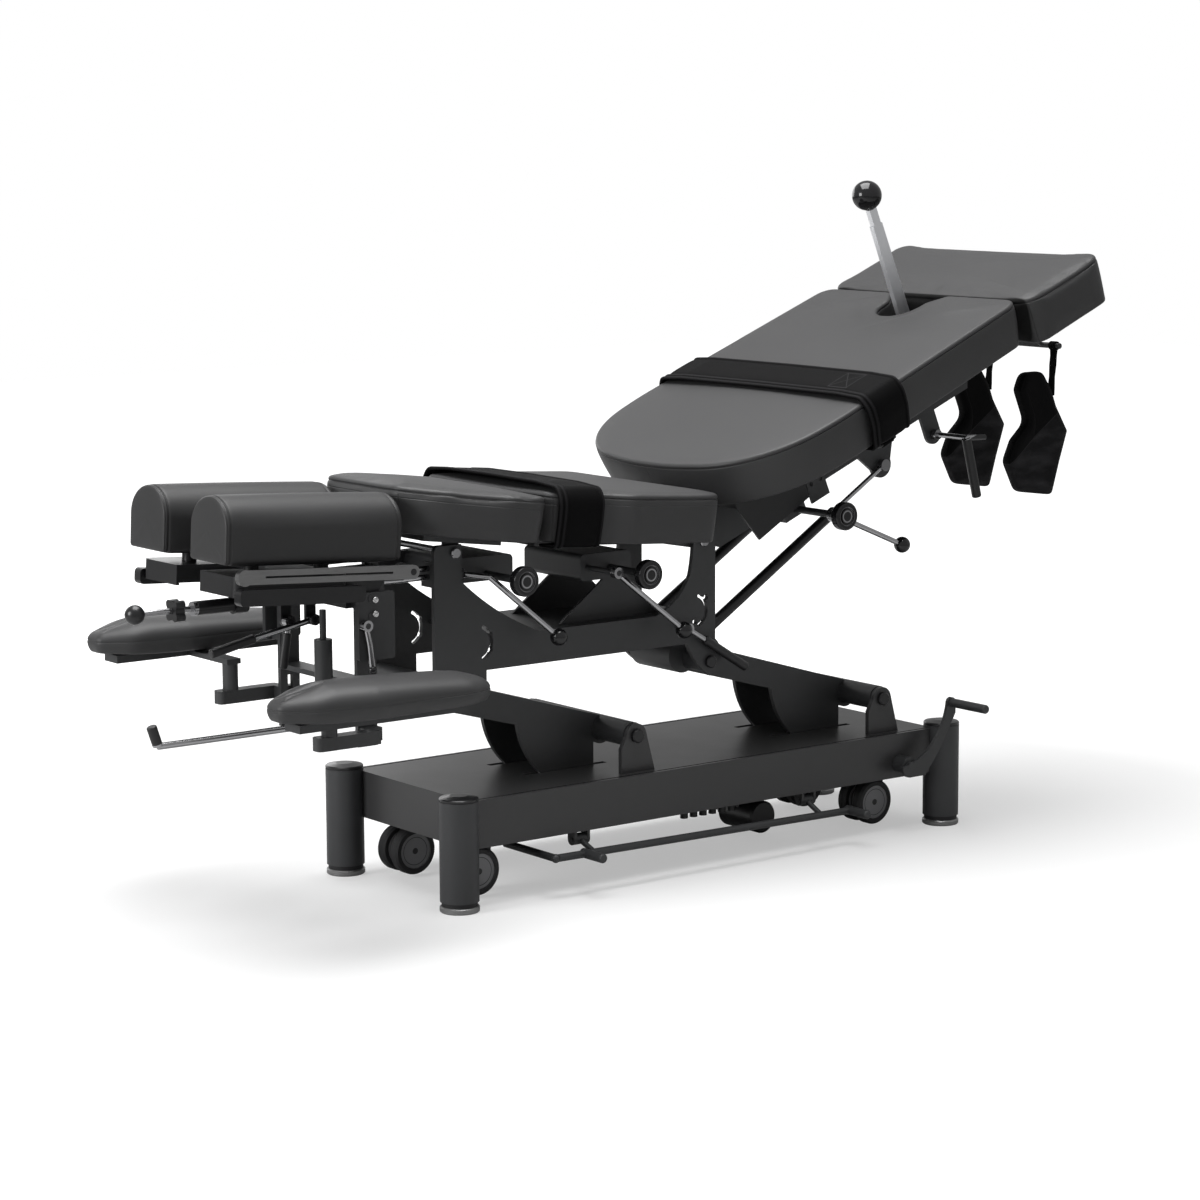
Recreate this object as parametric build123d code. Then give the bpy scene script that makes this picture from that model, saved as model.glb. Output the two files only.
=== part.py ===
from build123d import *
import os

# Chiropractic table in millimetres. X runs from head to foot, Y from the near side to the far
# side, Z up; the origin is on the floor under the middle of the base.

# Clearances
SEAT = 0.3             # between pieces that seat on each other
RUN_FIT = 0.08         # radial play of a shaft in its bearing
OPEN_FIT = 0.4         # radial play of the pivot where the parallel linkage closes
SIDE_PLAY = 1.0        # between plates that move past each other
OVERRUN = 4.0          # cuts run past the faces that they open

# Base: corner posts and levelling feet
POST_OUTSET = 18.3     # post centres past the plinth's ends
POST_INSET = 4.4       # post centres inside the plinth's sides
POST_DIAMETER = 60.0
POST_WALL = 3.0
POST_HEIGHT = 154.0
CAP_RIM = 4.0
CAP_GROOVE = 1.5
CAP_DOME = 3.0
DISC_DIAMETER = 61.0
DISC_HEIGHT = 9.0
RING_DIAMETER = 55.0
RING_HEIGHT = 7.0
STEM_DIAMETER = 16.0
STEM_LENGTH = 34.0

# Base: plinth
DECK_TOP = 166.2
PLINTH_HEIGHT = 74.5
PLINTH_LENGTH = 950.0
PLINTH_WIDTH = 326.0
PLINTH_WALL = 4.0
LIP_WIDTH = 6.0
GROOVE_WIDTH = 4.0
GROOVE_DEPTH = 2.5
SLOT_CLEARANCE = 2.0
SLOT_RADIUS = 2.0
FRONT_SLOT_REACH = 152.0
REAR_SLOT_REACH = 160.0
SLOT_PAST_PIVOT = 9.0
GUIDE_DIAMETER = 14.0
GUIDE_STEP = 25.0      # guide rod to the caster stem beside it

# Parallel lift linkage
PIN_SPACING = 516.6
FRONT_PIVOT_X = -141.6
PIVOT_Z = 224.2
ARM_LENGTH = 347.8
ARM_ANGLE = 15.5
ARM_WIDTH = 102.0
ARM_PLATE = 8.0
ARM_RISE = 18.0        # top edge over the pin line at the pivot
ARM_CREST = 24.0       # top edge over the pin line at the upper pin
ARM_DROP = 22.0        # bottom edge under the pin line
ARM_NOSE = 46.0        # nose past the upper pin
ARM_HEEL = 17.0        # vertical edge beside the pivot
ARM_FOOT_DEPTH = 124.0
ARM_FOOT_WIDTH = 74.0
ARM_TOE = 16.0
ARM_TOE_DEPTH = 80.0
ARM_WEB_END = 14.0      # webs stop here so that only the side plates pass the deck
GUSSET_START = 165.0   # along the arm, where the bottom edge turns into the gusset
GUSSET_MIDDLE_X_SHARE = 0.84
GUSSET_MIDDLE_Z_SHARE = 0.32
PIVOT_TUBE_DIAMETER = 40.0
UPPER_TUBE_DIAMETER = 36.0
NOSE_TUBE_DIAMETER = 44.0
PIVOT_PIN_DIAMETER = 20.0
PIVOT_CAP_DIAMETER = 22.0
PIVOT_CAP_LENGTH = 7.0
EAR_OUTER_Y = 141.0
EAR_PLATE = 8.0
EAR_RADIUS = 19.0
EAR_FOOT = 66.0
EAR_BACK = 29.5        # foot of the ear on the head side of its pin
LUG_DEPTH = 103.0      # screw pin under the rear pivot
LUG_PIN_DIAMETER = 12.0
LUG_PLAY = 1.6
LUG_TRAVEL = 9.0

# Lift drive under the deck
SCREW_DIAMETER = 22.0
SCREW_LENGTH = 262.0
SCREW_EYE = 26.0
SCREW_EYE_WIDTH = 60.0
DRIVE_LENGTH = 232.0
DRIVE_HEIGHT = 50.0
DRIVE_WIDTH = 62.0
DRIVE_END_X = 192.0
DRIVE_BORE_LENGTH = 150.0
MOTOR_DIAMETER = 54.0
MOTOR_LENGTH = 84.0
MOTOR_X = 181.0
MOTOR_Z = 36.0
MOTOR_NEAR_Y = -66.0
MOTOR_NECK = 34.0
GEAR_LENGTH = 46.0
CONTROL_X = 14.0
CONTROL_LENGTH = 118.0
CONTROL_WIDTH = 58.0
CONTROL_Y = -66.0
CONTROL_TOP = 98.0
CONTROL_HEIGHT = 22.0
SOCKET_DIAMETER = 13.0
SOCKET_LENGTH = 22.0
SOCKETS = 6

# Casters, their carriage and its crank
CASTER_END_INSET = 70.0
CASTER_SIDE_INSET = 75.0
CASTER_TRAIL = 20.0
WHEEL_DIAMETER = 75.0
WHEEL_WIDTH = 19.0
WHEEL_SPACING = 36.0
WHEEL_LIFT = 5.0
HUB_DIAMETER = 56.0
HUB_RECESS = 2.0
AXLE_DIAMETER = 10.0
FORK_WIDTH = 13.0
FORK_HEAD = 15.0
FORK_STEM_DIAMETER = 14.0
FORK_STEM_LENGTH = 20.0
RAIL_WIDTH = 38.0
RAIL_THICKNESS = 5.0
CARRIAGE_BEAM_WIDTH = 24.0
CRANK_INSET = 82.0
CRANK_Z = 116.0
CRANK_SHAFT_DIAMETER = 14.0
CRANK_PLATE = 6.0
CRANK_HUB_RADIUS = 19.0
CRANK_REACH_X = 89.0
CRANK_REACH_Z = 97.0
CRANK_FOOT = 62.0
CRANK_TOP_WIDTH = 18.0
CRANK_GRIP_LENGTH = 84.0
CRANK_GRIP_DIAMETER = 15.0
CAM_DIAMETER = 18.0
CAM_WIDTH = 16.0

# Foot control bar
BAR_DIAMETER = 12.0
BAR_OUTSET = 27.0      # from the plinth's near side
BAR_HEAD_GAP = 71.0    # from the caster pivots to the bar's ends
BAR_FOOT_GAP = 143.0
BAR_Z = 58.0
BAR_ELBOW_GAP = 69.0
BAR_INNER_Y = -58.0
BAR_RISE = 6.0
HANGER_HEAD_INSET = 72.0
HANGER_FOOT_INSET = 62.0
HANGER_WIDTH = 20.0
HANGER_PLATE = 5.0
HANGER_INSET = 13.0    # from the plinth's near side
HANGER_PIN_Z = 78.0
HANGER_PIN_DIAMETER = 8.0
HANGER_EYE_DIAMETER = 18.0
PEDAL_LENGTH = 46.0
PEDAL_DIAMETER = 15.0
PEDAL_HEAD_X = -278.0

# Upper frame
FRAME_WIDTH = 200.0
FRAME_PLATE = 8.0
FRAME_RISE = 231.0     # left ear top over the upper pins
FRAME_OUTLINE_SHARES = (
    (-0.031, 0.0), (-0.031, 0.95), ((-0.026, 0.986), (-0.008, 1.0)), (0.067, 1.0), (0.067, 0.751),
    ((0.205, 0.52), (0.345, 0.365)), (0.787, 0.365), ((0.867, 0.462), (0.921, 0.623)),
    ((0.931, 0.74), (0.935, 0.935)), (1.0215, 0.935), (1.0215, 0.156),
    ((1.0435, 0.0), (1.0, -0.1)), ((0.962, -0.03), (0.91, 0.145)), (0.152, 0.145),
    (0.152, 0.02), ((0.136, -0.05), (0.1, -0.07)), (0.0, -0.07), ((-0.025, -0.045), (-0.031, 0.0)))
WEB_SHARE = 0.365      # height of the top web in the frame's rise
WEB_THICKNESS = 5.0
WEB_START_SHARE = 0.2
WEB_END_SHARE = 0.93
UPPER_PIN_DIAMETER = 16.0
UPPER_CAP_DIAMETER = 20.0
UPPER_CAP_LENGTH = 6.0
EAR_BOLT_DIAMETER = 10.0
EAR_BOLT_HEAD = 17.0
EAR_BOLT_HEAD_LENGTH = 6.0
LEFT_BOLT_X_SHARE = 0.0416
LEFT_BOLT_Z_SHARE = 0.9475
HINGE_X = 25.5         # common hinge of the lumbar and pelvic sections
HINGE_Z = 513.6
CRESCENT_RADIUS = 26.0
CRESCENT_WIDTH = 6.0
CRESCENT_SPAN = 130.0
CRESCENT_LEFT_SHARES = (0.12, 0.33)
CRESCENT_RIGHT_SHARES = (0.935, 0.37)
PLATE_HOLE_DIAMETER = 9.0
PLATE_HOLE_SHARES = ((0.166, 0.385), (0.166, 0.277), (0.984, 0.457), (0.94, 0.292))
GUSSET_PLATE = 5.0
GUSSET_Y = 62.0
GUSSET_SHARES = ((0.47, 0.365), (0.645, 0.66), (0.72, 0.66), (0.86, 0.365))
STRUT_ANCHOR_X = 22.0
STRUT_ANCHOR_Z = 345.0
STRUT_PIN_DIAMETER = 9.0

# Drop mechanism housings between the ears
HEAD_BOX_LENGTH = 110.0
HEAD_BOX_HEIGHT = 38.0
HEAD_BOX_TOP = 522.0
HEAD_BOX_START = -440.0
WAIST_BOX_START = -200.0
WAIST_BOX_LENGTH = 100.0
WAIST_BOX_HEIGHT = 42.0
WAIST_BOX_TOP = 508.0
BOX_WIDTH = 150.0
BOX_RADIUS = 8.0

# Knobs and cocking levers
KNOB_DIAMETER = 46.0
KNOB_WIDTH = 16.0
KNOB_RING = 30.0
KNOB_GROOVE = 3.0
KNOB_SHAFT_DIAMETER = 12.0
KNOB_Y = -165.0
LEVER_DIAMETER = 9.0
BALL_DIAMETER = 27.0
LEVER_HUB_DIAMETER = 17.0
LEVER_HUB_LENGTH = 12.0
LEVER_SHAFT_DIAMETER = 9.0
LEVER_Y = -150.0
LEVER_STEP = 15.0
HEAD_KNOB = (-379.0, 494.0)
WAIST_KNOB = (-142.0, 483.0)
HEAD_LEVER_PIVOT = (-434.0, 500.0)
HEAD_LEVER_BEND = (-402.0, 496.0)
HEAD_LEVER_BALL = (-298.0, 398.0)
WAIST_LEVER_PIVOT = (-186.0, 487.0)
WAIST_LEVER_BEND = (-166.0, 471.0)
WAIST_LEVER_BALL = (-53.0, 384.0)
RELEASE_PIVOT = (-16.0, 378.0)
RELEASE_JOINT = (18.0, 357.0)
RELEASE_END = (104.0, 303.0)
RELEASE_Y = -113.0
RELEASE_GRIP_DIAMETER = 15.0

# Thoracic section, built about its ear bolts
THORACIC_TILT = 7.5
THORACIC_HEAD = 118.0
THORACIC_FOOT = 108.0
THORACIC_HEAD_HALF = 95.0
THORACIC_SHOULDER = 60.0
THORACIC_SHOULDER_HALF = 152.0
THORACIC_BROAD = 40.0
THORACIC_HALF = 190.0
THORACIC_BOTTOM = 25.5
THORACIC_SEAM = 88.0
BOARD_THICKNESS = 10.0
BOARD_EDGE = 50.0      # boards stop this far inside their cushions
LUG_THICKNESS = 8.0
LUG_RADIUS = 13.0
SECTION_LUG_Y = 90.0

# Cushion skins
CROWN = 14.0
SIDE_TUCK = 6.0
EDGE_ROUND = 9.0
CROWN_ROUND = 46.0
SEAM_STEP = 1.5
CORNER_RADIUS = 30.0

# Lumbar section, built about the common hinge
LUMBAR_TILT = 4.0
LUMBAR_HEAD = 362.0
LUMBAR_FOOT = 41.0
LUMBAR_WAIST_HALF = 178.0
LUMBAR_HALF = 205.0
LUMBAR_WAIST_END = 262.0
LUMBAR_BROAD = 222.0
LUMBAR_BOTTOM = 8.0
LUMBAR_SEAM = 77.0
STRAP_THICKNESS = 5.0
STRAP_GAP = 1.0
WAIST_STRAP_WIDTH = 86.0
WAIST_STRAP_START = 352.0
STRAP_RETURN = 46.0

# Pelvic section, built about the common hinge
PELVIC_TILT = 22.7
PELVIC_FOOT = 656.9
PELVIC_FOOT_HALF = 242.0
PELVIC_HIP = 217.0
PELVIC_HIP_HALF = 260.0
PELVIC_TIP = 9.0
PELVIC_TIP_SHARES = ((0.485, 0.962), (0.1, 0.635), (0.0, 0.192))
PELVIC_BOTTOM = 49.0
PELVIC_SEAM = 119.0
PELVIC_TUCK = 12.0
TIP_RADIUS = 165.0
TIP_NOSE_RADIUS = 460.0
NOTCH_HALF = 44.0
NOTCH_DEPTH = 88.0
NOTCH_MOUTH_HALF = 72.0
NOTCH_MOUTH_DEPTH = 34.0
NOTCH_RADIUS = 40.0
MOUTH_RADIUS = 16.0
THROAT_RADIUS = 24.0
PELVIC_BOARD_HEAD = 48.0
PELVIC_BOARD_HALF = 150.0
PELVIC_DROP = 1.0
SKIRT_PLATE = 4.0
SKIRT_LENGTH = 142.0
SKIRT_DEPTH = 68.0
SKIRT_LIP_SHARES = ((0.0, 0.0), (0.16, 1.0), (1.0, 0.76), (1.0, 0.0))
RAIL_OUTER_Y = 70.0
RAIL_PLATE = 8.0
RAIL_BOTTOM = -40.0
RAIL_END_INSET = 6.9   # from the pelvic cushion's foot end
CROSS_DIAMETER = 24.0
CROSS_N = -26.0
CROSS_STATIONS_SHARES = (0.14, 0.33, 0.62, 0.93)
SIDE_PLATE_START = 192.0
SIDE_PLATE_END = 232.0
SIDE_PLATE_BOTTOM = -26.0
SIDE_HOLE_DIAMETER = 7.0
PELVIC_BOX_START = 185.0
PELVIC_BOX_END = 232.0
PELVIC_BOX_BOTTOM = -66.0
PELVIC_KNOB = (212.0, -54.0)
PELVIC_KNOB_Y = -186.0
PELVIC_LEVER_BALL = (325.0, -168.0)
PELVIC_LEVER_Y = -170.0
HIP_STRAP_START = 266.0
HIP_STRAP_WIDTH = 76.0
BUCKLE_LENGTH = 42.0
BUCKLE_HEIGHT = 22.0
BUCKLE_THICKNESS = 9.0

# Gas struts
STRUT_Y = 75.0
STRUT_S = 412.0
STRUT_N = -73.3
STRUT_EYE_DIAMETER = 20.0
STRUT_EYE_WIDTH = 12.0
STRUT_DIAMETER = 18.0
STRUT_CYLINDER = 356.0
STRUT_BORE_DIAMETER = 14.0
STRUT_ROD_DIAMETER = 8.0
STRUT_ROD_HIDDEN = 60.0
STRUT_LUG_PLAY = 5.0
STRUT_LUG_PLATE = 7.0
STRUT_LUG_WIDTH = 44.0

# Flexion lever
FLEXION_INSET = 49.9   # from the pelvic cushion's foot end
FLEXION_N = 6.0
FLEXION_TOP = 306.0
FLEXION_STEP = 275.0
FLEXION_WIDTH = 24.0
FLEXION_NECK = 16.0
FLEXION_THICKNESS = 10.0
FLEXION_BALL_DIAMETER = 50.0
FLEXION_PIN_DIAMETER = 10.0
CLEVIS_PLATE = 6.0

# Ankle section and its lock
ANKLE_GAP = 4.1
ANKLE_LENGTH = 192.0
ANKLE_HALF = 250.0
ANKLE_BOTTOM = 36.0
ANKLE_SEAM = 111.0
SLIDE_OUTER_Y = 58.0
SLIDE_TUBE_WIDTH = 18.0
SLIDE_TOP = 14.0
SLIDE_BOTTOM = -8.0
SLIDE_OVERLAP = 326.9  # inside the pelvic rails
SLIDE_REACH = 155.1    # past the pelvic cushion's foot end
ANKLE_PLATE_HALF = 150.0
ANKLE_PLATE = 6.0
GIB_LENGTH = 40.0
HANDLE_PIVOT = (537.0, -78.0)
HANDLE_ROD_DIAMETER = 9.0
HANDLE_OUTER_Y = -150.0
HANDLE_STUB = (576.0, -96.0)
HANDLE_END = (522.0, -182.0)
HANDLE_GRIP_DIAMETER = 16.0
HANDLE_HANGER_PLATE = 6.0

# Ankle cuffs
CUFF_Y = 78.0
CUFF_HOOK_X = 826.0
CUFF_HOOK_Z = 786.0
CUFF_WEB_WIDTH = 14.0
CUFF_WEB_THICKNESS = 4.0
CUFF_JOINT = (-6.0, -90.0)
CUFF_LENGTH = 144.0
CUFF_DROP = 218.0
CUFF_SHARES = ((0.17, 0.14), (0.26, 0.0), (0.56, 0.0), (0.72, 0.15), (0.8, 0.28), (1.0, 0.49),
               (0.87, 0.74), (0.75, 1.0), (0.2, 0.95), (0.0, 0.7), (0.12, 0.53), (0.34, 0.4))
CUFF_CORNER_SHARES = (0.1, 0.13, 0.1, 0.08, 0.06, 0.04, 0.1, 0.06, 0.12, 0.12, 0.12, 0.12)
CUFF_JOINT_SHARES = (0.76, 0.22)
CUFF_THICKNESS = 34.0
CUFF_EDGE = 5.0
CUFF_HOOK_DIAMETER = 10.0

# Head section, built about its tilt bolts
HEAD_PIVOT_X = -628.0
HEAD_PIVOT_Z = 487.0
HEAD_TILT = 3.4
TRAY_HEAD = 231.0
TRAY_FOOT = 40.0
TRAY_HALF = 136.0
TRAY_TOP = 38.0
TRAY_BOTTOM = 8.0
TRAY_WALL = 5.0
TRAY_RADIUS = 14.0
FACE_SLOT_HALF = 34.0
FACE_SLOT_LENGTH = 96.0
SIDE_BOX_HEAD = 234.0
SIDE_BOX_FOOT = 22.0
SIDE_BOX_BOTTOM = -2.0
SIDE_BOX_TOP = 22.0
SIDE_BOX_OUTER_Y = 154.0
SIDE_BOX_RADIUS = 7.0
TILT_ARM_INNER_Y = 118.0
TILT_ARM_PLATE = 8.0
TILT_ARM_END = 62.0
TILT_ARM_DEPTH = 14.0
TILT_BOLT_DIAMETER = 10.0
TILT_BOLT_HEAD = 13.0
BOLSTER_HEAD = 255.0
BOLSTER_FOOT = 50.0
BOLSTER_INNER_Y = 35.4
BOLSTER_WIDTH = 106.2
BOLSTER_BOTTOM = 54.0
BOLSTER_HEIGHT = 100.0
BOLSTER_SIDE_SHARE = 0.56
BOLSTER_END_ROUND = 6.0
PROP_DIAMETER = 22.0
PROP_STATIONS_SHARES = (0.25, 0.64)
PAPER_RAIL_PIVOT = 59.0
PAPER_RAIL_HEAD = 231.0
PAPER_RAIL_N = 40.0
PAPER_RAIL_HEIGHT = 21.0
PAPER_RAIL_PLATE = 5.0
PAPER_RAIL_Y = -151.0
PAPER_SLOT_HEIGHT = 3.0
PAPER_KNOB_DIAMETER = 24.0
LOCK_Y = -60.0
LOCK_Z = 488.0
LOCK_BALL_X = -980.0
LOCK_BALL_DIAMETER = 29.0
LOCK_STAR_X = -913.0
LOCK_STAR_DIAMETER = 38.0
LOCK_STAR_WIDTH = 15.0
LOCK_GRIP_START = -887.0
LOCK_GRIP_END = -820.0
LOCK_GRIP_DIAMETER = 21.0
LOCK_ROD_DIAMETER = 9.0
LOCK_BOSS_LENGTH = 22.0
LOCK_BOSS_DIAMETER = 28.0
TILT_LEVER_PIVOT = (-684.0, 453.0)
TILT_LEVER_JOINT = (-786.0, 435.0)
TILT_LEVER_END = (-860.0, 419.0)
TILT_LEVER_Y = -64.0
DROP_LEVER_PIVOT = (-704.0, 448.0)
DROP_LEVER_END = (-716.0, 377.0)
DROP_LEVER_Y = -26.0
HAND_LEVER_GRIP = 14.0
BRACKET_PLATE = 6.0
CURVED_PIVOT = (-643.0, 449.0)
CURVED_BEND = (-637.0, 420.0)
CURVED_END = (-633.0, 382.0)

# Head carriage and its rods
SLIDE_ROD_DIAMETER = 9.0
SLIDE_ROD_Y = 78.0
SLIDE_ROD_UPPER_Z = 513.0
SLIDE_ROD_LOWER_Z = 500.0
SLIDE_ROD_HEAD_X = -652.0
SLIDE_ROD_FOOT_X = -452.0
SLIDE_BLOCK_HEAD = -650.0
SLIDE_BLOCK_FOOT = -582.0
SLIDE_BLOCK_HALF = 100.0
SLIDE_BLOCK_TOP = 521.0
SLIDE_BLOCK_BOTTOM = 470.0
CARRIAGE_PLATE = 8.0
CARRIAGE_OUTER_Y = 136.0
CARRIAGE_HEAD = -651.0
CARRIAGE_FOOT = -588.0
CARRIAGE_TOP = 496.0
CARRIAGE_BOTTOM = 395.0
CARRIAGE_CORNER = 5.0
MAST_HEAD = -640.0
MAST_FOOT = -606.0
MAST_BOTTOM = 262.0
MAST_HALF = 112.0
MAST_PLATE = 8.0
MAST_SLOT_WIDTH = 9.0
MAST_SLOT_LENGTH = 40.0
CARRIAGE_CROSS = 8.0
DAMPER_X = -682.0
DAMPER_Y = -86.0
DAMPER_DIAMETER = 27.0
DAMPER_BOTTOM = 360.0
DAMPER_TOP = 426.0
DAMPER_ROD_DIAMETER = 10.0
DAMPER_ROD_TOP = 470.0
DAMPER_SHELF = 8.0

# Armrests
ARM_PAD_HEAD = -879.0
ARM_PAD_FOOT = -524.0
ARM_PAD_Y = 262.0
ARM_PAD_HALF = 64.0
ARM_PAD_BOTTOM = 345.0
ARM_PAD_SEAM = 366.0
ARM_PAD_CROWN = 30.0
FAR_ARM_RISE = 30.0    # far pad stands higher than the near one
ARM_PAD_SHARES = ((0.0, 0.3), (0.13, 0.78), (0.4, 1.0), (0.86, 0.94), (1.0, 0.62))
ARM_PAD_RADIUS = 60.0
ARM_PAD_NOSE_RADIUS = 34.0
ARM_PAD_ROUND = 12.0
ARM_PAD_SHOULDER = 30.0
PAD_BAR_HEAD = -846.0
PAD_BAR_FOOT = -560.0
PAD_BAR_WIDTH = 40.0
PAD_BAR_HEIGHT = 12.0
LINK_X = -708.0
LINK_Y = 140.0
LINK_DIAMETER = 24.0
LINK_BLOCK_HEAD = -733.0
LINK_BLOCK_FOOT = -622.0
LINK_BLOCK_BOTTOM = 272.0
LINK_BLOCK_TOP = 292.0
LINK_BLOCK_WIDTH = 24.0
HANGING_PLATE = 8.0
HANGING_PLATE_WIDTH = 30.0
CRANK_ROD_Z = 314.0
CRANK_ROD_Y = -150.0
CRANK_ROD_DIAMETER = 10.0
CRANK_ROD_FOOT = -742.0
CRANK_ROD_HEAD = -998.0
CRANK_ROD_GRIP_LENGTH = 30.0
CRANK_ROD_GRIP_DIAMETER = 15.0
CRANK_ROD_GRIP_LEAN = 10.0
CRANK_BOSS_DIAMETER = 22.0
CRANK_BOSS_LENGTH = 26.0

os.makedirs("parts", exist_ok=True)

# Places that follow from the driving sizes
PLINTH_BOTTOM = DECK_TOP - PLINTH_HEIGHT
POST_SPACING_X = PLINTH_LENGTH + 2 * POST_OUTSET
POST_SPACING_Y = PLINTH_WIDTH - 2 * POST_INSET
CASTER_PIVOT_X = PLINTH_LENGTH / 2 - CASTER_END_INSET
CASTER_PIVOT_Y = PLINTH_WIDTH / 2 - CASTER_SIDE_INSET
GUIDE_Y = CASTER_PIVOT_Y - GUIDE_STEP
CRANK_X = PLINTH_LENGTH / 2 - CRANK_INSET
BAR_Y = -PLINTH_WIDTH / 2 - BAR_OUTSET
BAR_HEAD_X = -CASTER_PIVOT_X + BAR_HEAD_GAP
BAR_ELBOW_X = -CASTER_PIVOT_X + BAR_ELBOW_GAP
BAR_FOOT_X = CASTER_PIVOT_X - BAR_FOOT_GAP
HANGER_HEAD_X = BAR_HEAD_X + HANGER_HEAD_INSET
HANGER_FOOT_X = BAR_FOOT_X - HANGER_FOOT_INSET
HANGER_Y = -PLINTH_WIDTH / 2 + HANGER_INSET
RAIL_END = PELVIC_FOOT - RAIL_END_INSET
FLEXION_S = PELVIC_FOOT - FLEXION_INSET
SLIDE_START = PELVIC_FOOT - SLIDE_OVERLAP
SLIDE_END = PELVIC_FOOT + SLIDE_REACH
REAR_PIVOT_X = FRONT_PIVOT_X + PIN_SPACING
PIN_LINE = Rot(Y=ARM_ANGLE)
UPPER_PIN = PIN_LINE * Pos(-ARM_LENGTH, 0, 0)
UPPER_X = FRONT_PIVOT_X + UPPER_PIN.position.X
UPPER_Z = PIVOT_Z + UPPER_PIN.position.Z
FRAME_HALF = FRAME_WIDTH / 2
FRAME_INNER = FRAME_HALF - FRAME_PLATE
ARM_HALF = ARM_WIDTH / 2
ARM_INNER = ARM_HALF - ARM_PLATE
EAR_INNER_Y = EAR_OUTER_Y - EAR_PLATE
LEFT_BOLT_X = UPPER_X + LEFT_BOLT_X_SHARE * PIN_SPACING
LEFT_BOLT_Z = UPPER_Z + LEFT_BOLT_Z_SHARE * FRAME_RISE
WEB_TOP = UPPER_Z + WEB_SHARE * FRAME_RISE
WHEEL_Z = WHEEL_LIFT + WHEEL_DIAMETER / 2
RAIL_Z = PLINTH_BOTTOM + SEAT
THORACIC = Pos(LEFT_BOLT_X, 0, LEFT_BOLT_Z) * Rot(Y=THORACIC_TILT)
LUMBAR = Pos(HINGE_X, 0, HINGE_Z) * Rot(Y=LUMBAR_TILT)
PELVIC = Pos(HINGE_X, 0, HINGE_Z) * Rot(Y=-PELVIC_TILT)
HEAD = Pos(HEAD_PIVOT_X, 0, HEAD_PIVOT_Z) * Rot(Y=HEAD_TILT)


def save(name, *shapes):
    """Write one node."""
    whole = shapes[0]
    for shape in shapes[1:]:
        whole = whole + shape
    export_step(whole, f"parts/{name}.step")


def block(x, y, z):
    """Box between low and high values of X, Y and Z."""
    size = (x[1] - x[0], y[1] - y[0], z[1] - z[0])
    return Pos(x[0], y[0], z[0]) * Box(*size, align=Align.MIN)


def bar(start, end, diameter):
    """Round bar from one point to another."""
    run = Vector(*end) - Vector(*start)
    return extrude(Plane(origin=start, z_dir=run) * Circle(diameter / 2), run.length)


def cross_bar(place, y, diameter):
    """Round bar along Y at a place in X and Z."""
    return bar((place[0], y[0], place[1]), (place[0], y[1], place[1]), diameter)


def ball(centre, diameter):
    return Pos(*centre) * Sphere(diameter / 2)


def profile(*marks):
    """Closed face in X and Z; a mark of two points is an arc through the first to the second."""
    edges = []
    here = marks[0]
    for mark in marks[1:]:
        if isinstance(mark[0], tuple):
            edges.append(ThreePointArc(here, mark[0], mark[1]))
            here = mark[1]
        else:
            edges.append(Line(here, mark))
            here = mark
    if (Vector(*here) - Vector(*marks[0])).length > RUN_FIT:
        edges.append(Line(here, marks[0]))
    return make_face(edges)


def slab(face, y):
    """Plate with an X and Z outline between low and high Y."""
    return Pos(0, y[1], 0) * extrude(Plane.XZ * face, y[1] - y[0])


def both_sides(shape):
    """The piece and its mirror image across the middle plane."""
    return shape + mirror(shape, Plane.XZ)


def scaled(shares, width, height):
    """Outline marks from shares of a width and a height."""
    marks = []
    for share in shares:
        if isinstance(share[0], tuple):
            marks.append(tuple((part[0] * width, part[1] * height) for part in share))
        else:
            marks.append((share[0] * width, share[1] * height))
    return marks


def inset(points, step):
    """Corners of a counter-clockwise outline whose edges all move inward by a step."""
    moved = []
    count = len(points)
    for index in range(count):
        before = Vector(*points[index - 1])
        corner = Vector(*points[index])
        after = Vector(*points[(index + 1) % count])
        first = (corner - before).normalized()
        second = (after - corner).normalized()
        inward = Vector(-first.Y, first.X) + Vector(-second.Y, second.X)
        share = 2 / inward.dot(inward)
        moved.append(corner + inward * (step * share))
    return moved


def turn_signs(points):
    """One for an outer corner and minus one for an inner corner."""
    signs = []
    count = len(points)
    for index in range(count):
        first = Vector(*points[index]) - Vector(*points[index - 1])
        second = Vector(*points[(index + 1) % count]) - Vector(*points[index])
        signs.append(1 if first.cross(second).Z > 0 else -1)
    return signs


def ring_face(points, radii, step, height):
    """Rounded outline at a height, inside the full outline by a step."""
    signs = turn_signs(points)
    corners = [Vector(p.X, p.Y, height) for p in inset(points, step)]
    rounds = [max(radius - sign * step, SEAT) for radius, sign in zip(radii, signs)]
    return make_face(FilletPolyline(*corners, radius=rounds, close=True))


def cushion(points, radii, bottom, seam, crown, tuck, shoulder=EDGE_ROUND, top_step=CROWN_ROUND):
    """Upholstered pad: sides drawn in below, a creased seam and a crowned top."""
    middle = bottom + (seam - bottom) / 2
    side = loft([ring_face(points, radii, tuck, bottom),
                 ring_face(points, radii, 0, middle),
                 ring_face(points, radii, SEAM_STEP, seam)])
    top = loft([ring_face(points, radii, SEAM_STEP, seam),
                ring_face(points, radii, shoulder, seam + crown * 2 / 3),
                ring_face(points, radii, top_step, seam + crown)])
    return side + top


def turned(marks):
    """Solid of revolution about Z from an outline of radius and height."""
    return revolve(Plane.XZ * make_face(Polyline(*marks, close=True)), Axis.Z)


# Base


def corner_places():
    half_x = POST_SPACING_X / 2
    half_y = POST_SPACING_Y / 2
    return [(x, y) for x in (-half_x, half_x) for y in (-half_y, half_y)]


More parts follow.
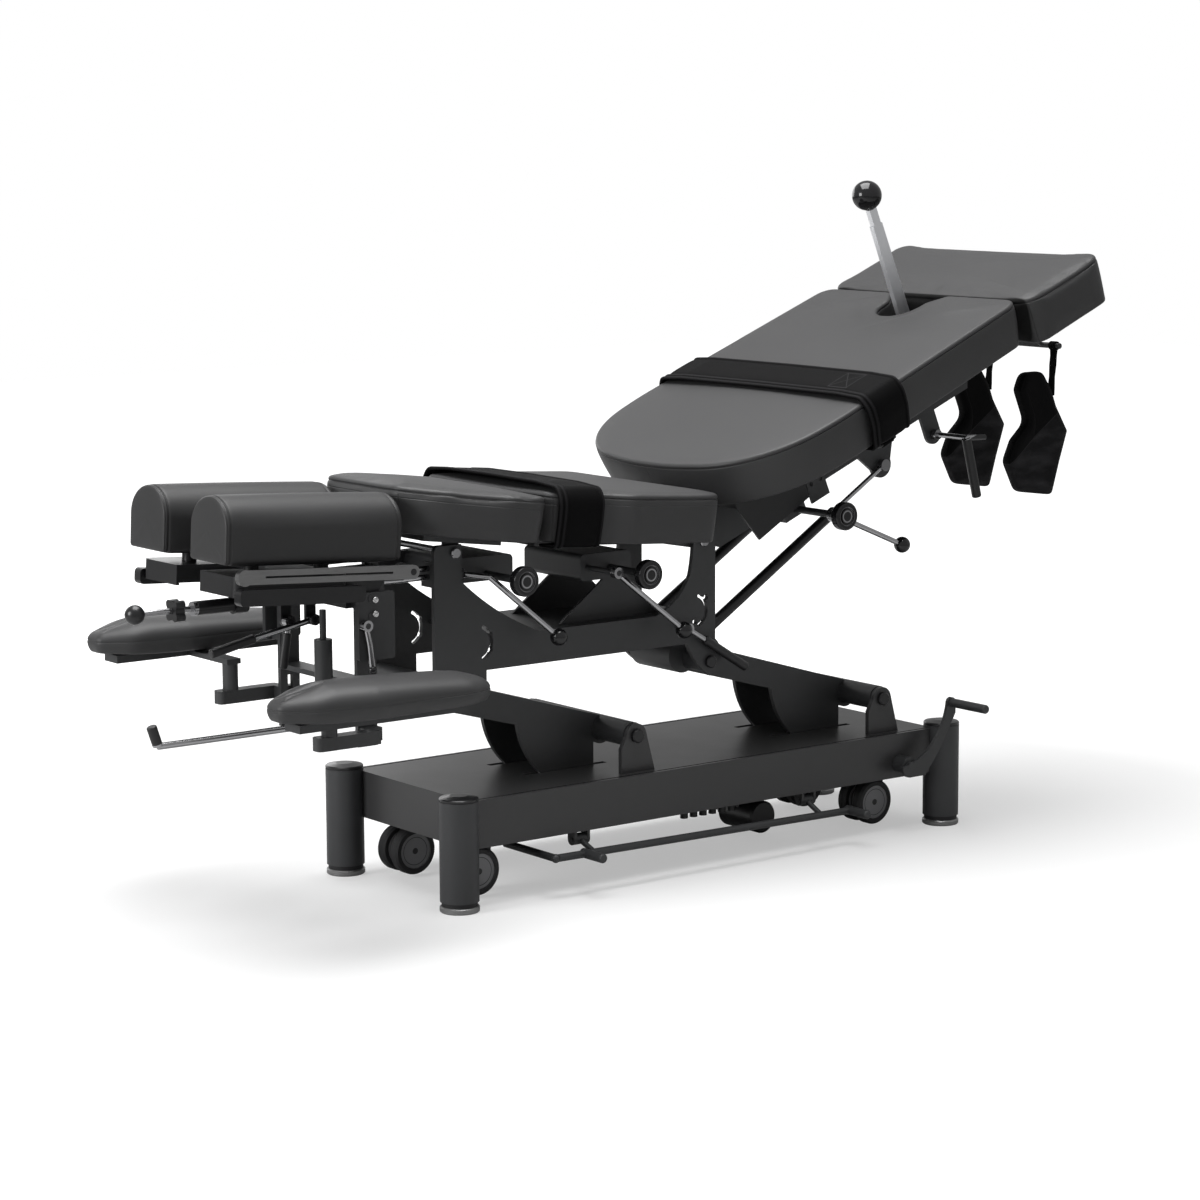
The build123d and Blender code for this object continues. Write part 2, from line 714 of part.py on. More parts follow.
def make_posts():
    base = DISC_HEIGHT + RING_HEIGHT
    top = base + POST_HEIGHT
    outer = POST_DIAMETER / 2
    inner = outer - POST_WALL
    stem = STEM_DIAMETER / 2 + SEAT
    tube = turned([(stem, base), (outer, base), (outer, top), (inner, top),
                   (inner, base + POST_WALL), (stem, base + POST_WALL)])
    neck = outer - CAP_GROOVE
    rim = top + CAP_GROOVE
    full = rim + CAP_RIM
    plug = inner - SEAT
    cap_outline = [(0, top - CAP_RIM), (plug, top - CAP_RIM), (plug, top), (neck, top), (neck, rim),
                   (outer, rim), (outer, full - CAP_GROOVE), (outer - CAP_GROOVE, full),
                   (inner / 2, full + CAP_DOME), (0, full + CAP_DOME)]
    cap = turned(cap_outline)
    posts = [Pos(x, y, 0) * piece for x, y in corner_places() for piece in (tube, cap)]
    save("corner_posts", *posts)


def make_feet():
    disc = DISC_DIAMETER / 2
    stem = STEM_DIAMETER / 2
    edge = disc - CAP_GROOVE
    foot = turned([(0, 0), (edge, 0), (disc, CAP_GROOVE), (disc, DISC_HEIGHT - CAP_GROOVE),
                   (edge, DISC_HEIGHT), (stem, DISC_HEIGHT), (stem, STEM_LENGTH), (0, STEM_LENGTH)])
    ring_bore = stem + SEAT
    top = DISC_HEIGHT + RING_HEIGHT
    ring = turned([(ring_bore, DISC_HEIGHT), (RING_DIAMETER / 2, DISC_HEIGHT),
                   (RING_DIAMETER / 2, top), (ring_bore, top)])
    feet = [Pos(x, y, 0) * piece for x, y in corner_places() for piece in (foot, ring)]
    save("levelling_feet", *feet)


def pivot_ear(pivot_x):
    """Tapered plates that carry one end of a lift arm pivot."""
    base = DECK_TOP - PLINTH_WALL / 2
    left = pivot_x - EAR_BACK
    right = left + EAR_FOOT
    top = PIVOT_Z + EAR_RADIUS
    face = profile((left, base), (right, base), (pivot_x + EAR_RADIUS, PIVOT_Z + EAR_RADIUS / 4),
                   ((pivot_x, top), (pivot_x - EAR_RADIUS, PIVOT_Z)), (left, PIVOT_Z - EAR_RADIUS))
    plate = slab(face, (-EAR_OUTER_Y, -EAR_INNER_Y))
    bore = cross_bar((pivot_x, PIVOT_Z), (-EAR_OUTER_Y - OVERRUN, -EAR_INNER_Y + OVERRUN),
                     PIVOT_PIN_DIAMETER + 2 * RUN_FIT)
    return both_sides(plate - bore)


def deck_slot(pivot_x, reach):
    width = ARM_PLATE + 2 * SLOT_CLEARANCE
    middle = ARM_HALF - ARM_PLATE / 2
    length = reach + SLOT_PAST_PIVOT
    centre = pivot_x + SLOT_PAST_PIVOT - length / 2
    outline = RectangleRounded(length, width, SLOT_RADIUS)
    cut = Pos(centre, -middle, DECK_TOP - PLINTH_WALL - OVERRUN) * extrude(
        outline, PLINTH_WALL + 2 * OVERRUN)
    return both_sides(cut)


def hanger(place_x):
    """Pair of lugs under the plinth for the foot bar."""
    half = HANGER_WIDTH / 2
    outer = half + HANGER_PLATE
    radius = HANGER_EYE_DIAMETER / 2
    top = PLINTH_BOTTOM + PLINTH_WALL
    wall = -PLINTH_WIDTH / 2 + PLINTH_WALL / 2
    lugs = block((place_x - outer, place_x + outer), (wall, HANGER_Y + radius), (PLINTH_BOTTOM, top))
    for start, end in ((-outer, -half), (half, outer)):
        lugs += block((place_x + start, place_x + end), (HANGER_Y - radius, HANGER_Y + radius),
                      (HANGER_PIN_Z, top))
        lugs += bar((place_x + start, HANGER_Y, HANGER_PIN_Z),
                    (place_x + end, HANGER_Y, HANGER_PIN_Z), HANGER_EYE_DIAMETER)
    return lugs - bar((place_x - outer - OVERRUN, HANGER_Y, HANGER_PIN_Z),
                      (place_x + outer + OVERRUN, HANGER_Y, HANGER_PIN_Z),
                      HANGER_PIN_DIAMETER + 2 * RUN_FIT)


def guide_places():
    """Carriage guide rods stand beside the far caster stems, clear of the screw's cross pin."""
    return [(x, GUIDE_Y) for x in (-CASTER_PIVOT_X, CASTER_PIVOT_X)]


def make_plinth():
    half_x = PLINTH_LENGTH / 2
    half_y = PLINTH_WIDTH / 2
    shell = block((-half_x, half_x), (-half_y, half_y), (PLINTH_BOTTOM, DECK_TOP))
    shell -= block((-half_x + PLINTH_WALL, half_x - PLINTH_WALL),
                   (-half_y + PLINTH_WALL, half_y - PLINTH_WALL),
                   (PLINTH_BOTTOM - OVERRUN, DECK_TOP - PLINTH_WALL))
    groove = block((-half_x - OVERRUN, half_x + OVERRUN),
                   (-half_y + LIP_WIDTH, -half_y + LIP_WIDTH + GROOVE_WIDTH),
                   (DECK_TOP - GROOVE_DEPTH, DECK_TOP + OVERRUN))
    shell -= both_sides(groove)
    shell -= deck_slot(FRONT_PIVOT_X, FRONT_SLOT_REACH)
    shell -= deck_slot(REAR_PIVOT_X, REAR_SLOT_REACH)
    for x, y in guide_places():
        shell += bar((x, y, PLINTH_BOTTOM + SEAT), (x, y, DECK_TOP - PLINTH_WALL / 2),
                     GUIDE_DIAMETER)
    for pivot_x in (FRONT_PIVOT_X, REAR_PIVOT_X):
        shell += pivot_ear(pivot_x)
    for place_x in (HANGER_HEAD_X, HANGER_FOOT_X):
        shell += hanger(place_x)
    for x, y in corner_places():
        shell -= Pos(x, y, PLINTH_BOTTOM - OVERRUN) * extrude(
            Circle(POST_DIAMETER / 2 + SEAT), PLINTH_HEIGHT + 2 * OVERRUN)
    shell -= cross_bar((CRANK_X, CRANK_Z), (-half_y - OVERRUN, -half_y + PLINTH_WALL + OVERRUN),
                       CRANK_SHAFT_DIAMETER + 2 * RUN_FIT)
    save("plinth", shell)


def pivot_pin(place, half_length, diameter, cap_diameter, cap_length):
    """Shaft along Y with a cap on each end."""
    shaft = cross_bar(place, (-half_length, half_length), diameter)
    cap = cross_bar(place, (-half_length - cap_length, -half_length), cap_diameter)
    cap = chamfer(cap.edges().group_by(Axis.Y)[0], cap_length / 4)
    return shaft + both_sides(cap)


def make_pivot_pins():
    pins = [pivot_pin((x, PIVOT_Z), EAR_OUTER_Y + SEAT, PIVOT_PIN_DIAMETER, PIVOT_CAP_DIAMETER,
                      PIVOT_CAP_LENGTH) for x in (FRONT_PIVOT_X, REAR_PIVOT_X)]
    save("base_pivot_pins", *pins)


def make_drive():
    """Screw drive housing under the deck with its gear and motor."""
    screw_z = PIVOT_Z - LUG_DEPTH
    half = DRIVE_WIDTH / 2
    top = DECK_TOP - PLINTH_WALL - SEAT
    low = screw_z - DRIVE_HEIGHT / 2
    body = block((DRIVE_END_X - DRIVE_LENGTH, DRIVE_END_X), (-half, half), (low, top))
    body = fillet(body.edges().filter_by(Axis.X), BOX_RADIUS / 2)
    body -= bar((DRIVE_END_X - DRIVE_BORE_LENGTH, 0, screw_z), (DRIVE_END_X + OVERRUN, 0, screw_z),
                SCREW_DIAMETER + 2 * RUN_FIT)
    gear = block((MOTOR_X - GEAR_LENGTH / 2, MOTOR_X + GEAR_LENGTH / 4), (-half, half),
                 (MOTOR_Z, low + SEAT))
    motor = bar((MOTOR_X, MOTOR_NEAR_Y, MOTOR_Z), (MOTOR_X, MOTOR_NEAR_Y + MOTOR_LENGTH, MOTOR_Z),
                MOTOR_DIAMETER)
    motor = chamfer(motor.edges().group_by(Axis.Y)[0], CAP_DOME)
    save("drive_unit", body + gear + motor, control_box())


def control_box():
    """Electrical box beside the screw drive with its row of sockets."""
    x_end = CONTROL_X + CONTROL_LENGTH
    y_end = CONTROL_Y + CONTROL_WIDTH - SEAT
    box = block((CONTROL_X, x_end), (CONTROL_Y, y_end), (CONTROL_TOP - CONTROL_HEIGHT, CONTROL_TOP))
    box = fillet(box.edges().filter_by(Axis.X), CAP_DOME)
    half = DRIVE_WIDTH / 2
    box -= block((CONTROL_X - OVERRUN, x_end + OVERRUN), (-half - SEAT, half),
                 (PIVOT_Z - LUG_DEPTH - DRIVE_HEIGHT / 2 - SEAT, DECK_TOP))
    pitch = CONTROL_LENGTH / SOCKETS
    bottom = CONTROL_TOP - CONTROL_HEIGHT
    for index in range(SOCKETS):
        x = CONTROL_X + pitch * (index + 1 / 2)
        y = CONTROL_Y + SOCKET_DIAMETER
        box += bar((x, y, bottom - SOCKET_LENGTH), (x, y, bottom + CAP_DOME), SOCKET_DIAMETER)
    return box


def make_carriage():
    """Cross rails that hold the casters, joined by a beam; the crank's cam pushes it down."""
    half_y = PLINTH_WIDTH / 2 - PLINTH_WALL - SIDE_PLAY
    top = RAIL_Z + RAIL_THICKNESS
    parts = []
    for x, y in guide_places():
        rail = block((x - RAIL_WIDTH / 2, x + RAIL_WIDTH / 2), (-half_y, half_y), (RAIL_Z, top))
        rail -= bar((x, y, RAIL_Z - OVERRUN), (x, y, top + OVERRUN), GUIDE_DIAMETER + 2 * RUN_FIT)
        for side in (-CASTER_PIVOT_Y, CASTER_PIVOT_Y):
            rail -= bar((x, side, RAIL_Z - OVERRUN), (x, side, top + OVERRUN),
                        FORK_STEM_DIAMETER + 2 * RUN_FIT)
        parts.append(rail)
    end = CASTER_PIVOT_X
    beam = block((-end, end), (half_y - CARRIAGE_BEAM_WIDTH, half_y), (RAIL_Z, top))
    save("caster_carriage", parts[0] + parts[1] + beam)


def caster_places():
    names = ("near_head", "far_head", "near_foot", "far_foot")
    places = [(x, y) for x in (-CASTER_PIVOT_X, CASTER_PIVOT_X)
              for y in (-CASTER_PIVOT_Y, CASTER_PIVOT_Y)]
    return list(zip(names, places))


def make_casters():
    """Twin wheels beside a narrow fork that swivels on its stem."""
    gap = (WHEEL_SPACING - WHEEL_WIDTH) / 2
    half = min(FORK_WIDTH / 2, gap - SEAT)
    outer = WHEEL_SPACING / 2 + WHEEL_WIDTH / 2
    wheel_top = WHEEL_Z + WHEEL_DIAMETER / 2
    radius = WHEEL_DIAMETER / 2
    for name, (x, y) in caster_places():
        axle_x = x - CASTER_TRAIL
        hood = profile((axle_x - FORK_HEAD, WHEEL_Z), (axle_x - FORK_HEAD, wheel_top - FORK_HEAD),
                       ((axle_x, wheel_top), (x, RAIL_Z - SIDE_PLAY / 2)),
                       (x + FORK_HEAD, RAIL_Z - SIDE_PLAY / 2), (x + FORK_HEAD, wheel_top - FORK_HEAD),
                       (axle_x + FORK_HEAD, WHEEL_Z), ((axle_x, WHEEL_Z - FORK_HEAD),
                                                      (axle_x - FORK_HEAD, WHEEL_Z)))
        fork = slab(hood, (y - half, y + half))
        fork += bar((x, y, RAIL_Z - SIDE_PLAY), (x, y, RAIL_Z + FORK_STEM_LENGTH), FORK_STEM_DIAMETER)
        fork += cross_bar((axle_x, WHEEL_Z), (y - outer + HUB_RECESS, y + outer - HUB_RECESS),
                          AXLE_DIAMETER)
        save(f"caster_fork_{name}", fork)
        wheels = []
        for side in (-1, 1):
            inner_y = y + side * gap
            outer_y = y + side * outer
            low, high = sorted((inner_y, outer_y))
            tyre = cross_bar((axle_x, WHEEL_Z), (low, high), WHEEL_DIAMETER)
            tyre = chamfer(tyre.edges().filter_by(GeomType.CIRCLE), WHEEL_WIDTH / 6)
            recess_end = outer_y - side * HUB_RECESS
            low, high = sorted((recess_end, outer_y + side * OVERRUN))
            tyre -= cross_bar((axle_x, WHEEL_Z), (low, high), HUB_DIAMETER)
            tyre -= cross_bar((axle_x, WHEEL_Z), (y - outer - OVERRUN, y + outer + OVERRUN),
                              AXLE_DIAMETER + 2 * RUN_FIT)
            wheels.append(tyre)
        save(f"caster_wheels_{name}", *wheels)


def make_caster_crank():
    """Bent plate outside the plinth with a grip, and its shaft with a cam inside."""
    wall = -PLINTH_WIDTH / 2
    face_y = wall - SIDE_PLAY
    tip_x = CRANK_X + CRANK_REACH_X
    tip_z = CRANK_Z + CRANK_REACH_Z
    low = CRANK_Z - CRANK_HUB_RADIUS
    post_edge = POST_SPACING_X / 2 - POST_DIAMETER / 2 - SIDE_PLAY
    outline = profile((CRANK_X, low), (CRANK_X + CRANK_FOOT / 2, low),
                      (min(CRANK_X + CRANK_FOOT, post_edge), CRANK_Z + CRANK_HUB_RADIUS),
                      (tip_x + CRANK_TOP_WIDTH / 2, tip_z - CRANK_TOP_WIDTH),
                      (tip_x + CRANK_TOP_WIDTH / 2, tip_z),
                      ((tip_x, tip_z + CRANK_TOP_WIDTH / 2), (tip_x - CRANK_TOP_WIDTH / 2, tip_z)),
                      ((CRANK_X + CRANK_REACH_X * 3 / 5, CRANK_Z + CRANK_REACH_Z * 2 / 5),
                       (CRANK_X - CRANK_HUB_RADIUS, CRANK_Z)),
                      ((CRANK_X - CRANK_HUB_RADIUS * 3 / 4, CRANK_Z - CRANK_HUB_RADIUS * 3 / 4),
                       (CRANK_X, low)))
    outer_y = -POST_SPACING_Y / 2 - POST_DIAMETER / 2 - SIDE_PLAY
    plate = slab(outline, (outer_y - CRANK_PLATE, outer_y))
    shaft = cross_bar((CRANK_X, CRANK_Z), (outer_y - CRANK_PLATE - SEAT, wall + PLINTH_WALL
                                          + SIDE_PLAY + CAM_WIDTH), CRANK_SHAFT_DIAMETER)
    hub = cross_bar((CRANK_X, CRANK_Z), (outer_y, face_y), CRANK_HUB_RADIUS * 3 / 2)
    cam_z = RAIL_Z + RAIL_THICKNESS + SEAT + CAM_DIAMETER / 2
    cam = cross_bar((CRANK_X, max(cam_z, CRANK_Z - CAM_DIAMETER / 2)),
                    (wall + PLINTH_WALL + SIDE_PLAY, wall + PLINTH_WALL + SIDE_PLAY + CAM_WIDTH),
                    CAM_DIAMETER)
    grip = cross_bar((tip_x, tip_z), (outer_y - CRANK_PLATE - CRANK_GRIP_LENGTH, outer_y),
                     CRANK_GRIP_DIAMETER)
    grip = fillet(grip.edges().group_by(Axis.Y)[0], CRANK_GRIP_DIAMETER / 4)
    save("caster_crank", plate + shaft + hub + cam + grip)


def make_foot_bar():
    """Long bar beside the plinth, its elbow and the pedal grips, hung from two pins."""
    inner = (BAR_ELBOW_X, BAR_INNER_Y, BAR_Z + BAR_RISE)
    elbow = (BAR_ELBOW_X, BAR_Y, BAR_Z + BAR_RISE)
    tail = (BAR_FOOT_X, BAR_Y, BAR_Z)
    piece = bar(inner, elbow, BAR_DIAMETER) + bar(elbow, tail, BAR_DIAMETER)
    piece += ball(elbow, BAR_DIAMETER + SIDE_PLAY * 2)
    for place_x in (HANGER_HEAD_X, HANGER_FOOT_X):
        half = HANGER_WIDTH / 2 - SEAT
        reach = HANGER_WIDTH / 2 + HANGER_PLATE + SIDE_PLAY
        piece += bar((place_x - half, HANGER_Y, HANGER_PIN_Z),
                     (place_x + half, HANGER_Y, HANGER_PIN_Z), HANGER_EYE_DIAMETER)
        piece += bar((place_x - reach, HANGER_Y, HANGER_PIN_Z),
                     (place_x + reach, HANGER_Y, HANGER_PIN_Z), HANGER_PIN_DIAMETER)
        share = (place_x - elbow[0]) / (tail[0] - elbow[0])
        bar_z = elbow[2] + (tail[2] - elbow[2]) * share
        piece += bar((place_x, HANGER_Y, HANGER_PIN_Z), (place_x, BAR_Y, bar_z), BAR_DIAMETER * 3 / 4)
    for place_x in (PEDAL_HEAD_X, BAR_FOOT_X):
        share = (place_x - elbow[0]) / (tail[0] - elbow[0])
        bar_z = elbow[2] + (tail[2] - elbow[2]) * share
        pedal = cross_bar((place_x, bar_z), (BAR_Y - PEDAL_LENGTH, BAR_Y + PEDAL_DIAMETER / 2),
                          PEDAL_DIAMETER)
        piece += fillet(pedal.edges().group_by(Axis.Y)[0], PEDAL_DIAMETER / 4)
    save("foot_bar", piece)


# Lift linkage


def arm_outline(web):
    """Side view of a lift arm about its pivot; the web step makes the inside of the box."""
    def along(run, rise):
        spot = (PIN_LINE * Pos(-run, 0, rise)).position
        return (spot.X, spot.Z)
    end = ARM_LENGTH + ARM_NOSE - web
    low = -ARM_DROP + web
    gusset = along(GUSSET_START + web, low)
    foot_left = -ARM_HEEL - ARM_FOOT_WIDTH + web
    bottom = -ARM_FOOT_DEPTH - (OVERRUN if web else 0)
    heel = -ARM_HEEL - web
    swing = (gusset[0] * GUSSET_MIDDLE_X_SHARE + web / 2, bottom * GUSSET_MIDDLE_Z_SHARE)
    marks = [along(0, ARM_RISE - web), along(ARM_LENGTH, ARM_CREST - web),
             (along(end, 0), along(ARM_LENGTH, low)), gusset, (swing, (foot_left, -ARM_TOE_DEPTH)),
             (foot_left, bottom)]
    if web:
        marks += [(ARM_TOE - web, bottom), (ARM_TOE - web, -ARM_TOE_DEPTH - web),
                  (heel, -ARM_TOE_DEPTH - web), (heel, 0)]
    else:
        marks += [(ARM_TOE, bottom), (ARM_TOE, -ARM_TOE_DEPTH), (heel, -ARM_TOE_DEPTH),
                  (heel, -PIVOT_TUBE_DIAMETER / 2),
                  ((PIVOT_TUBE_DIAMETER / 2, 0), along(0, ARM_RISE - web))]
    return profile(*marks)


def arm(pivot_x, pin_play, driven):
    """Box arm of two side plates with webs, its tubes bored for the pins."""
    body = slab(arm_outline(0), (-ARM_HALF, ARM_HALF)) - slab(arm_outline(WEB_THICKNESS),
                                                             (-ARM_INNER, ARM_INNER))
    body -= block((-ARM_LENGTH, ARM_TOE + OVERRUN), (-ARM_INNER, ARM_INNER),
                  (-ARM_FOOT_DEPTH - OVERRUN, -ARM_WEB_END))
    upper = (UPPER_PIN.position.X, UPPER_PIN.position.Z)
    reach = EAR_INNER_Y - SIDE_PLAY
    body += cross_bar((0, 0), (-reach, reach), PIVOT_TUBE_DIAMETER)
    inner = FRAME_INNER - SIDE_PLAY
    body += cross_bar(upper, (-inner, inner), UPPER_TUBE_DIAMETER)
    body += cross_bar(upper, (-ARM_INNER, ARM_INNER), NOSE_TUBE_DIAMETER)
    body -= cross_bar((0, 0), (-reach - OVERRUN, reach + OVERRUN), PIVOT_PIN_DIAMETER + 2 * RUN_FIT)
    body -= cross_bar(upper, (-inner - OVERRUN, inner + OVERRUN), UPPER_PIN_DIAMETER + 2 * pin_play)
    if driven:
        width = LUG_PIN_DIAMETER + 2 * LUG_PLAY
        slot = block((-width / 2, width / 2), (-ARM_HALF - OVERRUN, ARM_HALF + OVERRUN),
                     (-LUG_DEPTH - LUG_TRAVEL - width / 2, -LUG_DEPTH + width / 2))
        body -= slot
    return Pos(pivot_x, 0, PIVOT_Z) * body


def make_arms():
    save("front_arm", arm(FRONT_PIVOT_X, RUN_FIT, False))
    save("rear_arm", arm(REAR_PIVOT_X, OPEN_FIT, True))


def make_screw():
    """Screw rod with the eye and cross pin that push the rear arm's foot."""
    z = PIVOT_Z - LUG_DEPTH
    rod = bar((REAR_PIVOT_X - SCREW_LENGTH, 0, z), (REAR_PIVOT_X, 0, z), SCREW_DIAMETER)
    half = SCREW_EYE_WIDTH / 2
    eye = cross_bar((REAR_PIVOT_X, z), (-half, half), SCREW_EYE)
    pin = cross_bar((REAR_PIVOT_X, z), (-ARM_HALF - SIDE_PLAY, ARM_HALF + SIDE_PLAY),
                    LUG_PIN_DIAMETER)
    save("screw_rod", rod + eye + pin)


# Upper frame


def in_frame(shares):
    """Place in X and Z from shares of the pin spacing and of the frame's rise."""
    return (UPPER_X + shares[0] * PIN_SPACING, UPPER_Z + shares[1] * FRAME_RISE)


def crescent(shares):
    """Curved slot that shows the end stops behind a side plate."""
    x, z = in_frame(shares)
    arc = CenterArc((0, 0), CRESCENT_RADIUS, -CRESCENT_SPAN / 2, CRESCENT_SPAN)
    band = extrude(Plane.XZ * SlotArc(arc, CRESCENT_WIDTH), OVERRUN + FRAME_PLATE, both=True)
    return Pos(x, -FRAME_HALF, z) * band


def housing(start, length, top, height):
    """Rounded housing of a drop mechanism between the side plates."""
    box = block((start, start + length), (-BOX_WIDTH / 2, BOX_WIDTH / 2), (top - height, top))
    return fillet(box.edges().filter_by(Axis.Y), BOX_RADIUS)


def make_upper_frame():
    face = profile(*scaled(FRAME_OUTLINE_SHARES, PIN_SPACING, FRAME_RISE))
    plate = Pos(UPPER_X, 0, UPPER_Z) * slab(face, (-FRAME_HALF, -FRAME_INNER))
    through = (-FRAME_HALF - OVERRUN, -FRAME_INNER + OVERRUN)
    for pin_x in (UPPER_X, UPPER_X + PIN_SPACING):
        plate -= cross_bar((pin_x, UPPER_Z), through, UPPER_PIN_DIAMETER + 2 * RUN_FIT)
    for bolt in ((LEFT_BOLT_X, LEFT_BOLT_Z), (HINGE_X, HINGE_Z)):
        plate -= cross_bar(bolt, through, EAR_BOLT_DIAMETER + 2 * RUN_FIT)
    for shares in PLATE_HOLE_SHARES:
        plate -= cross_bar(in_frame(shares), through, PLATE_HOLE_DIAMETER)
    for shares in (CRESCENT_LEFT_SHARES, CRESCENT_RIGHT_SHARES):
        plate -= crescent(shares)
    frame = both_sides(plate)
    inner = FRAME_INNER + FRAME_PLATE / 4
    frame += block((UPPER_X + WEB_START_SHARE * PIN_SPACING, UPPER_X + WEB_END_SHARE * PIN_SPACING),
                   (-inner, inner), (WEB_TOP - WEB_THICKNESS, WEB_TOP))
    gusset = profile(*[in_frame(shares) for shares in GUSSET_SHARES])
    frame += both_sides(slab(gusset, (-GUSSET_Y - GUSSET_PLATE, -GUSSET_Y)))
    frame += housing(WAIST_BOX_START, WAIST_BOX_LENGTH, WAIST_BOX_TOP, WAIST_BOX_HEIGHT)
    frame += housing(HEAD_BOX_START, HEAD_BOX_LENGTH, HEAD_BOX_TOP, HEAD_BOX_HEIGHT)
    half = BOX_WIDTH / 2
    ear_x = UPPER_X + FRAME_OUTLINE_SHARES[0][0] * PIN_SPACING
    levels = (HEAD_BOX_TOP - HEAD_BOX_HEIGHT + SEAT, HEAD_BOX_TOP - SEAT)
    bracket = block((ear_x + OVERRUN, SLIDE_ROD_FOOT_X + OVERRUN), (-inner, -half + BOX_RADIUS * 2),
                    levels)
    bracket += block((ear_x + OVERRUN, HEAD_BOX_START + BOX_RADIUS * 2),
                     (-half + SIDE_PLAY, -half + BOX_RADIUS * 2), levels)
    for z in (SLIDE_ROD_LOWER_Z, SLIDE_ROD_UPPER_Z):
        bracket -= bar((ear_x - OVERRUN, -SLIDE_ROD_Y, z), (SLIDE_ROD_FOOT_X, -SLIDE_ROD_Y, z),
                       SLIDE_ROD_DIAMETER)
    frame += both_sides(bracket)
    anchor = (STRUT_ANCHOR_X, STRUT_ANCHOR_Z)
    anchor_pin = cross_bar(anchor, (-FRAME_INNER - FRAME_PLATE / 2, -STRUT_Y
                                    + STRUT_EYE_WIDTH / 2 + SEAT), STRUT_PIN_DIAMETER)
    frame += both_sides(anchor_pin)
    frame += mechanism_shafts()
    save("upper_frame", frame)


def mechanism_shafts():
    """Fixed spindles that carry the knobs and cocking levers of the upper frame."""
    half = BOX_WIDTH / 2 - BOX_RADIUS
    knob_end = KNOB_Y - KNOB_WIDTH / 2
    shafts = cross_bar(HEAD_KNOB, (knob_end, -half), KNOB_SHAFT_DIAMETER)
    shafts += cross_bar(WAIST_KNOB, (knob_end, -half), KNOB_SHAFT_DIAMETER)
    lever_end = -BOX_WIDTH / 2 - SIDE_PLAY - LEVER_HUB_LENGTH
    shafts += cross_bar(HEAD_LEVER_PIVOT, (lever_end, -half), LEVER_SHAFT_DIAMETER)
    shafts += cross_bar(WAIST_LEVER_PIVOT, (LEVER_Y - LEVER_HUB_LENGTH / 2, -half),
                        LEVER_SHAFT_DIAMETER)
    shafts += cross_bar(RELEASE_PIVOT, (RELEASE_Y - LEVER_HUB_LENGTH / 2, -FRAME_INNER),
                        LEVER_SHAFT_DIAMETER)
    return shafts


def make_frame_pins():
    """Upper linkage pins and the chrome ear bolts."""
    pins = [pivot_pin((x, UPPER_Z), FRAME_HALF + SEAT, UPPER_PIN_DIAMETER, UPPER_CAP_DIAMETER,
                      UPPER_CAP_LENGTH) for x in (UPPER_X, UPPER_X + PIN_SPACING)]
    bolts = [pivot_pin(place, FRAME_HALF + SEAT, EAR_BOLT_DIAMETER, EAR_BOLT_HEAD,
                       EAR_BOLT_HEAD_LENGTH)
             for place in ((LEFT_BOLT_X, LEFT_BOLT_Z), (HINGE_X, HINGE_Z))]
    save("frame_pins", *pins, *bolts)


def make_slide_rods():
    rods = [bar((SLIDE_ROD_HEAD_X, y, z), (SLIDE_ROD_FOOT_X, y, z), SLIDE_ROD_DIAMETER)
            for y in (-SLIDE_ROD_Y, SLIDE_ROD_Y) for z in (SLIDE_ROD_LOWER_Z, SLIDE_ROD_UPPER_Z)]
    save("head_slide_rods", *rods)


# Knobs and levers


def knob(place, y):
    """Turned tension knob on its spindle, with a ring groove in its face."""
    low = y - KNOB_WIDTH
    body = cross_bar(place, (low, y), KNOB_DIAMETER)
    body = fillet(body.edges().filter_by(GeomType.CIRCLE), KNOB_WIDTH / 5)
    groove = cross_bar(place, (low - OVERRUN, low + KNOB_GROOVE), KNOB_RING)
    groove -= cross_bar(place, (low - OVERRUN, low + KNOB_GROOVE), KNOB_RING - 2 * KNOB_GROOVE)
    bore = cross_bar(place, (y - KNOB_WIDTH / 2 - SEAT, y + OVERRUN),
                     KNOB_SHAFT_DIAMETER + 2 * RUN_FIT)
    return body - groove - bore


def cocking_lever(pivot, bend, end, hub_y, run_y, hub_bore):
    """Hub on a spindle, a cranked chrome rod and a ball at its end."""
    half = LEVER_HUB_LENGTH / 2
    hub = cross_bar(pivot, (hub_y - half, hub_y + half), hub_bore * 2)
    points = [(pivot[0], hub_y, pivot[1]), (bend[0], (hub_y + run_y) / 2, bend[1]),
              (end[0], run_y, end[1])]
    lever = hub + bar(points[0], points[1], LEVER_DIAMETER) + ball(points[1], LEVER_DIAMETER)
    lever += bar(points[1], points[2], LEVER_DIAMETER) + ball(points[2], BALL_DIAMETER)
    return lever - cross_bar(pivot, (hub_y - half - OVERRUN, hub_y + half + OVERRUN),
                             hub_bore + 2 * RUN_FIT)


def make_drop_controls():
    save("thoracic_knob", knob(HEAD_KNOB, KNOB_Y))
    save("lumbar_knob", knob(WAIST_KNOB, KNOB_Y))
    head_hub = -BOX_WIDTH / 2 - SIDE_PLAY - LEVER_HUB_LENGTH / 2
    save("thoracic_lever", cocking_lever(HEAD_LEVER_PIVOT, HEAD_LEVER_BEND, HEAD_LEVER_BALL,
                                         head_hub, LEVER_Y, LEVER_SHAFT_DIAMETER))
    save("lumbar_lever", cocking_lever(WAIST_LEVER_PIVOT, WAIST_LEVER_BEND, WAIST_LEVER_BALL,
                                       LEVER_Y, LEVER_Y, LEVER_SHAFT_DIAMETER))
    save("release_lever", grip_lever(RELEASE_PIVOT, RELEASE_JOINT, RELEASE_END, RELEASE_Y,
                                     RELEASE_GRIP_DIAMETER))


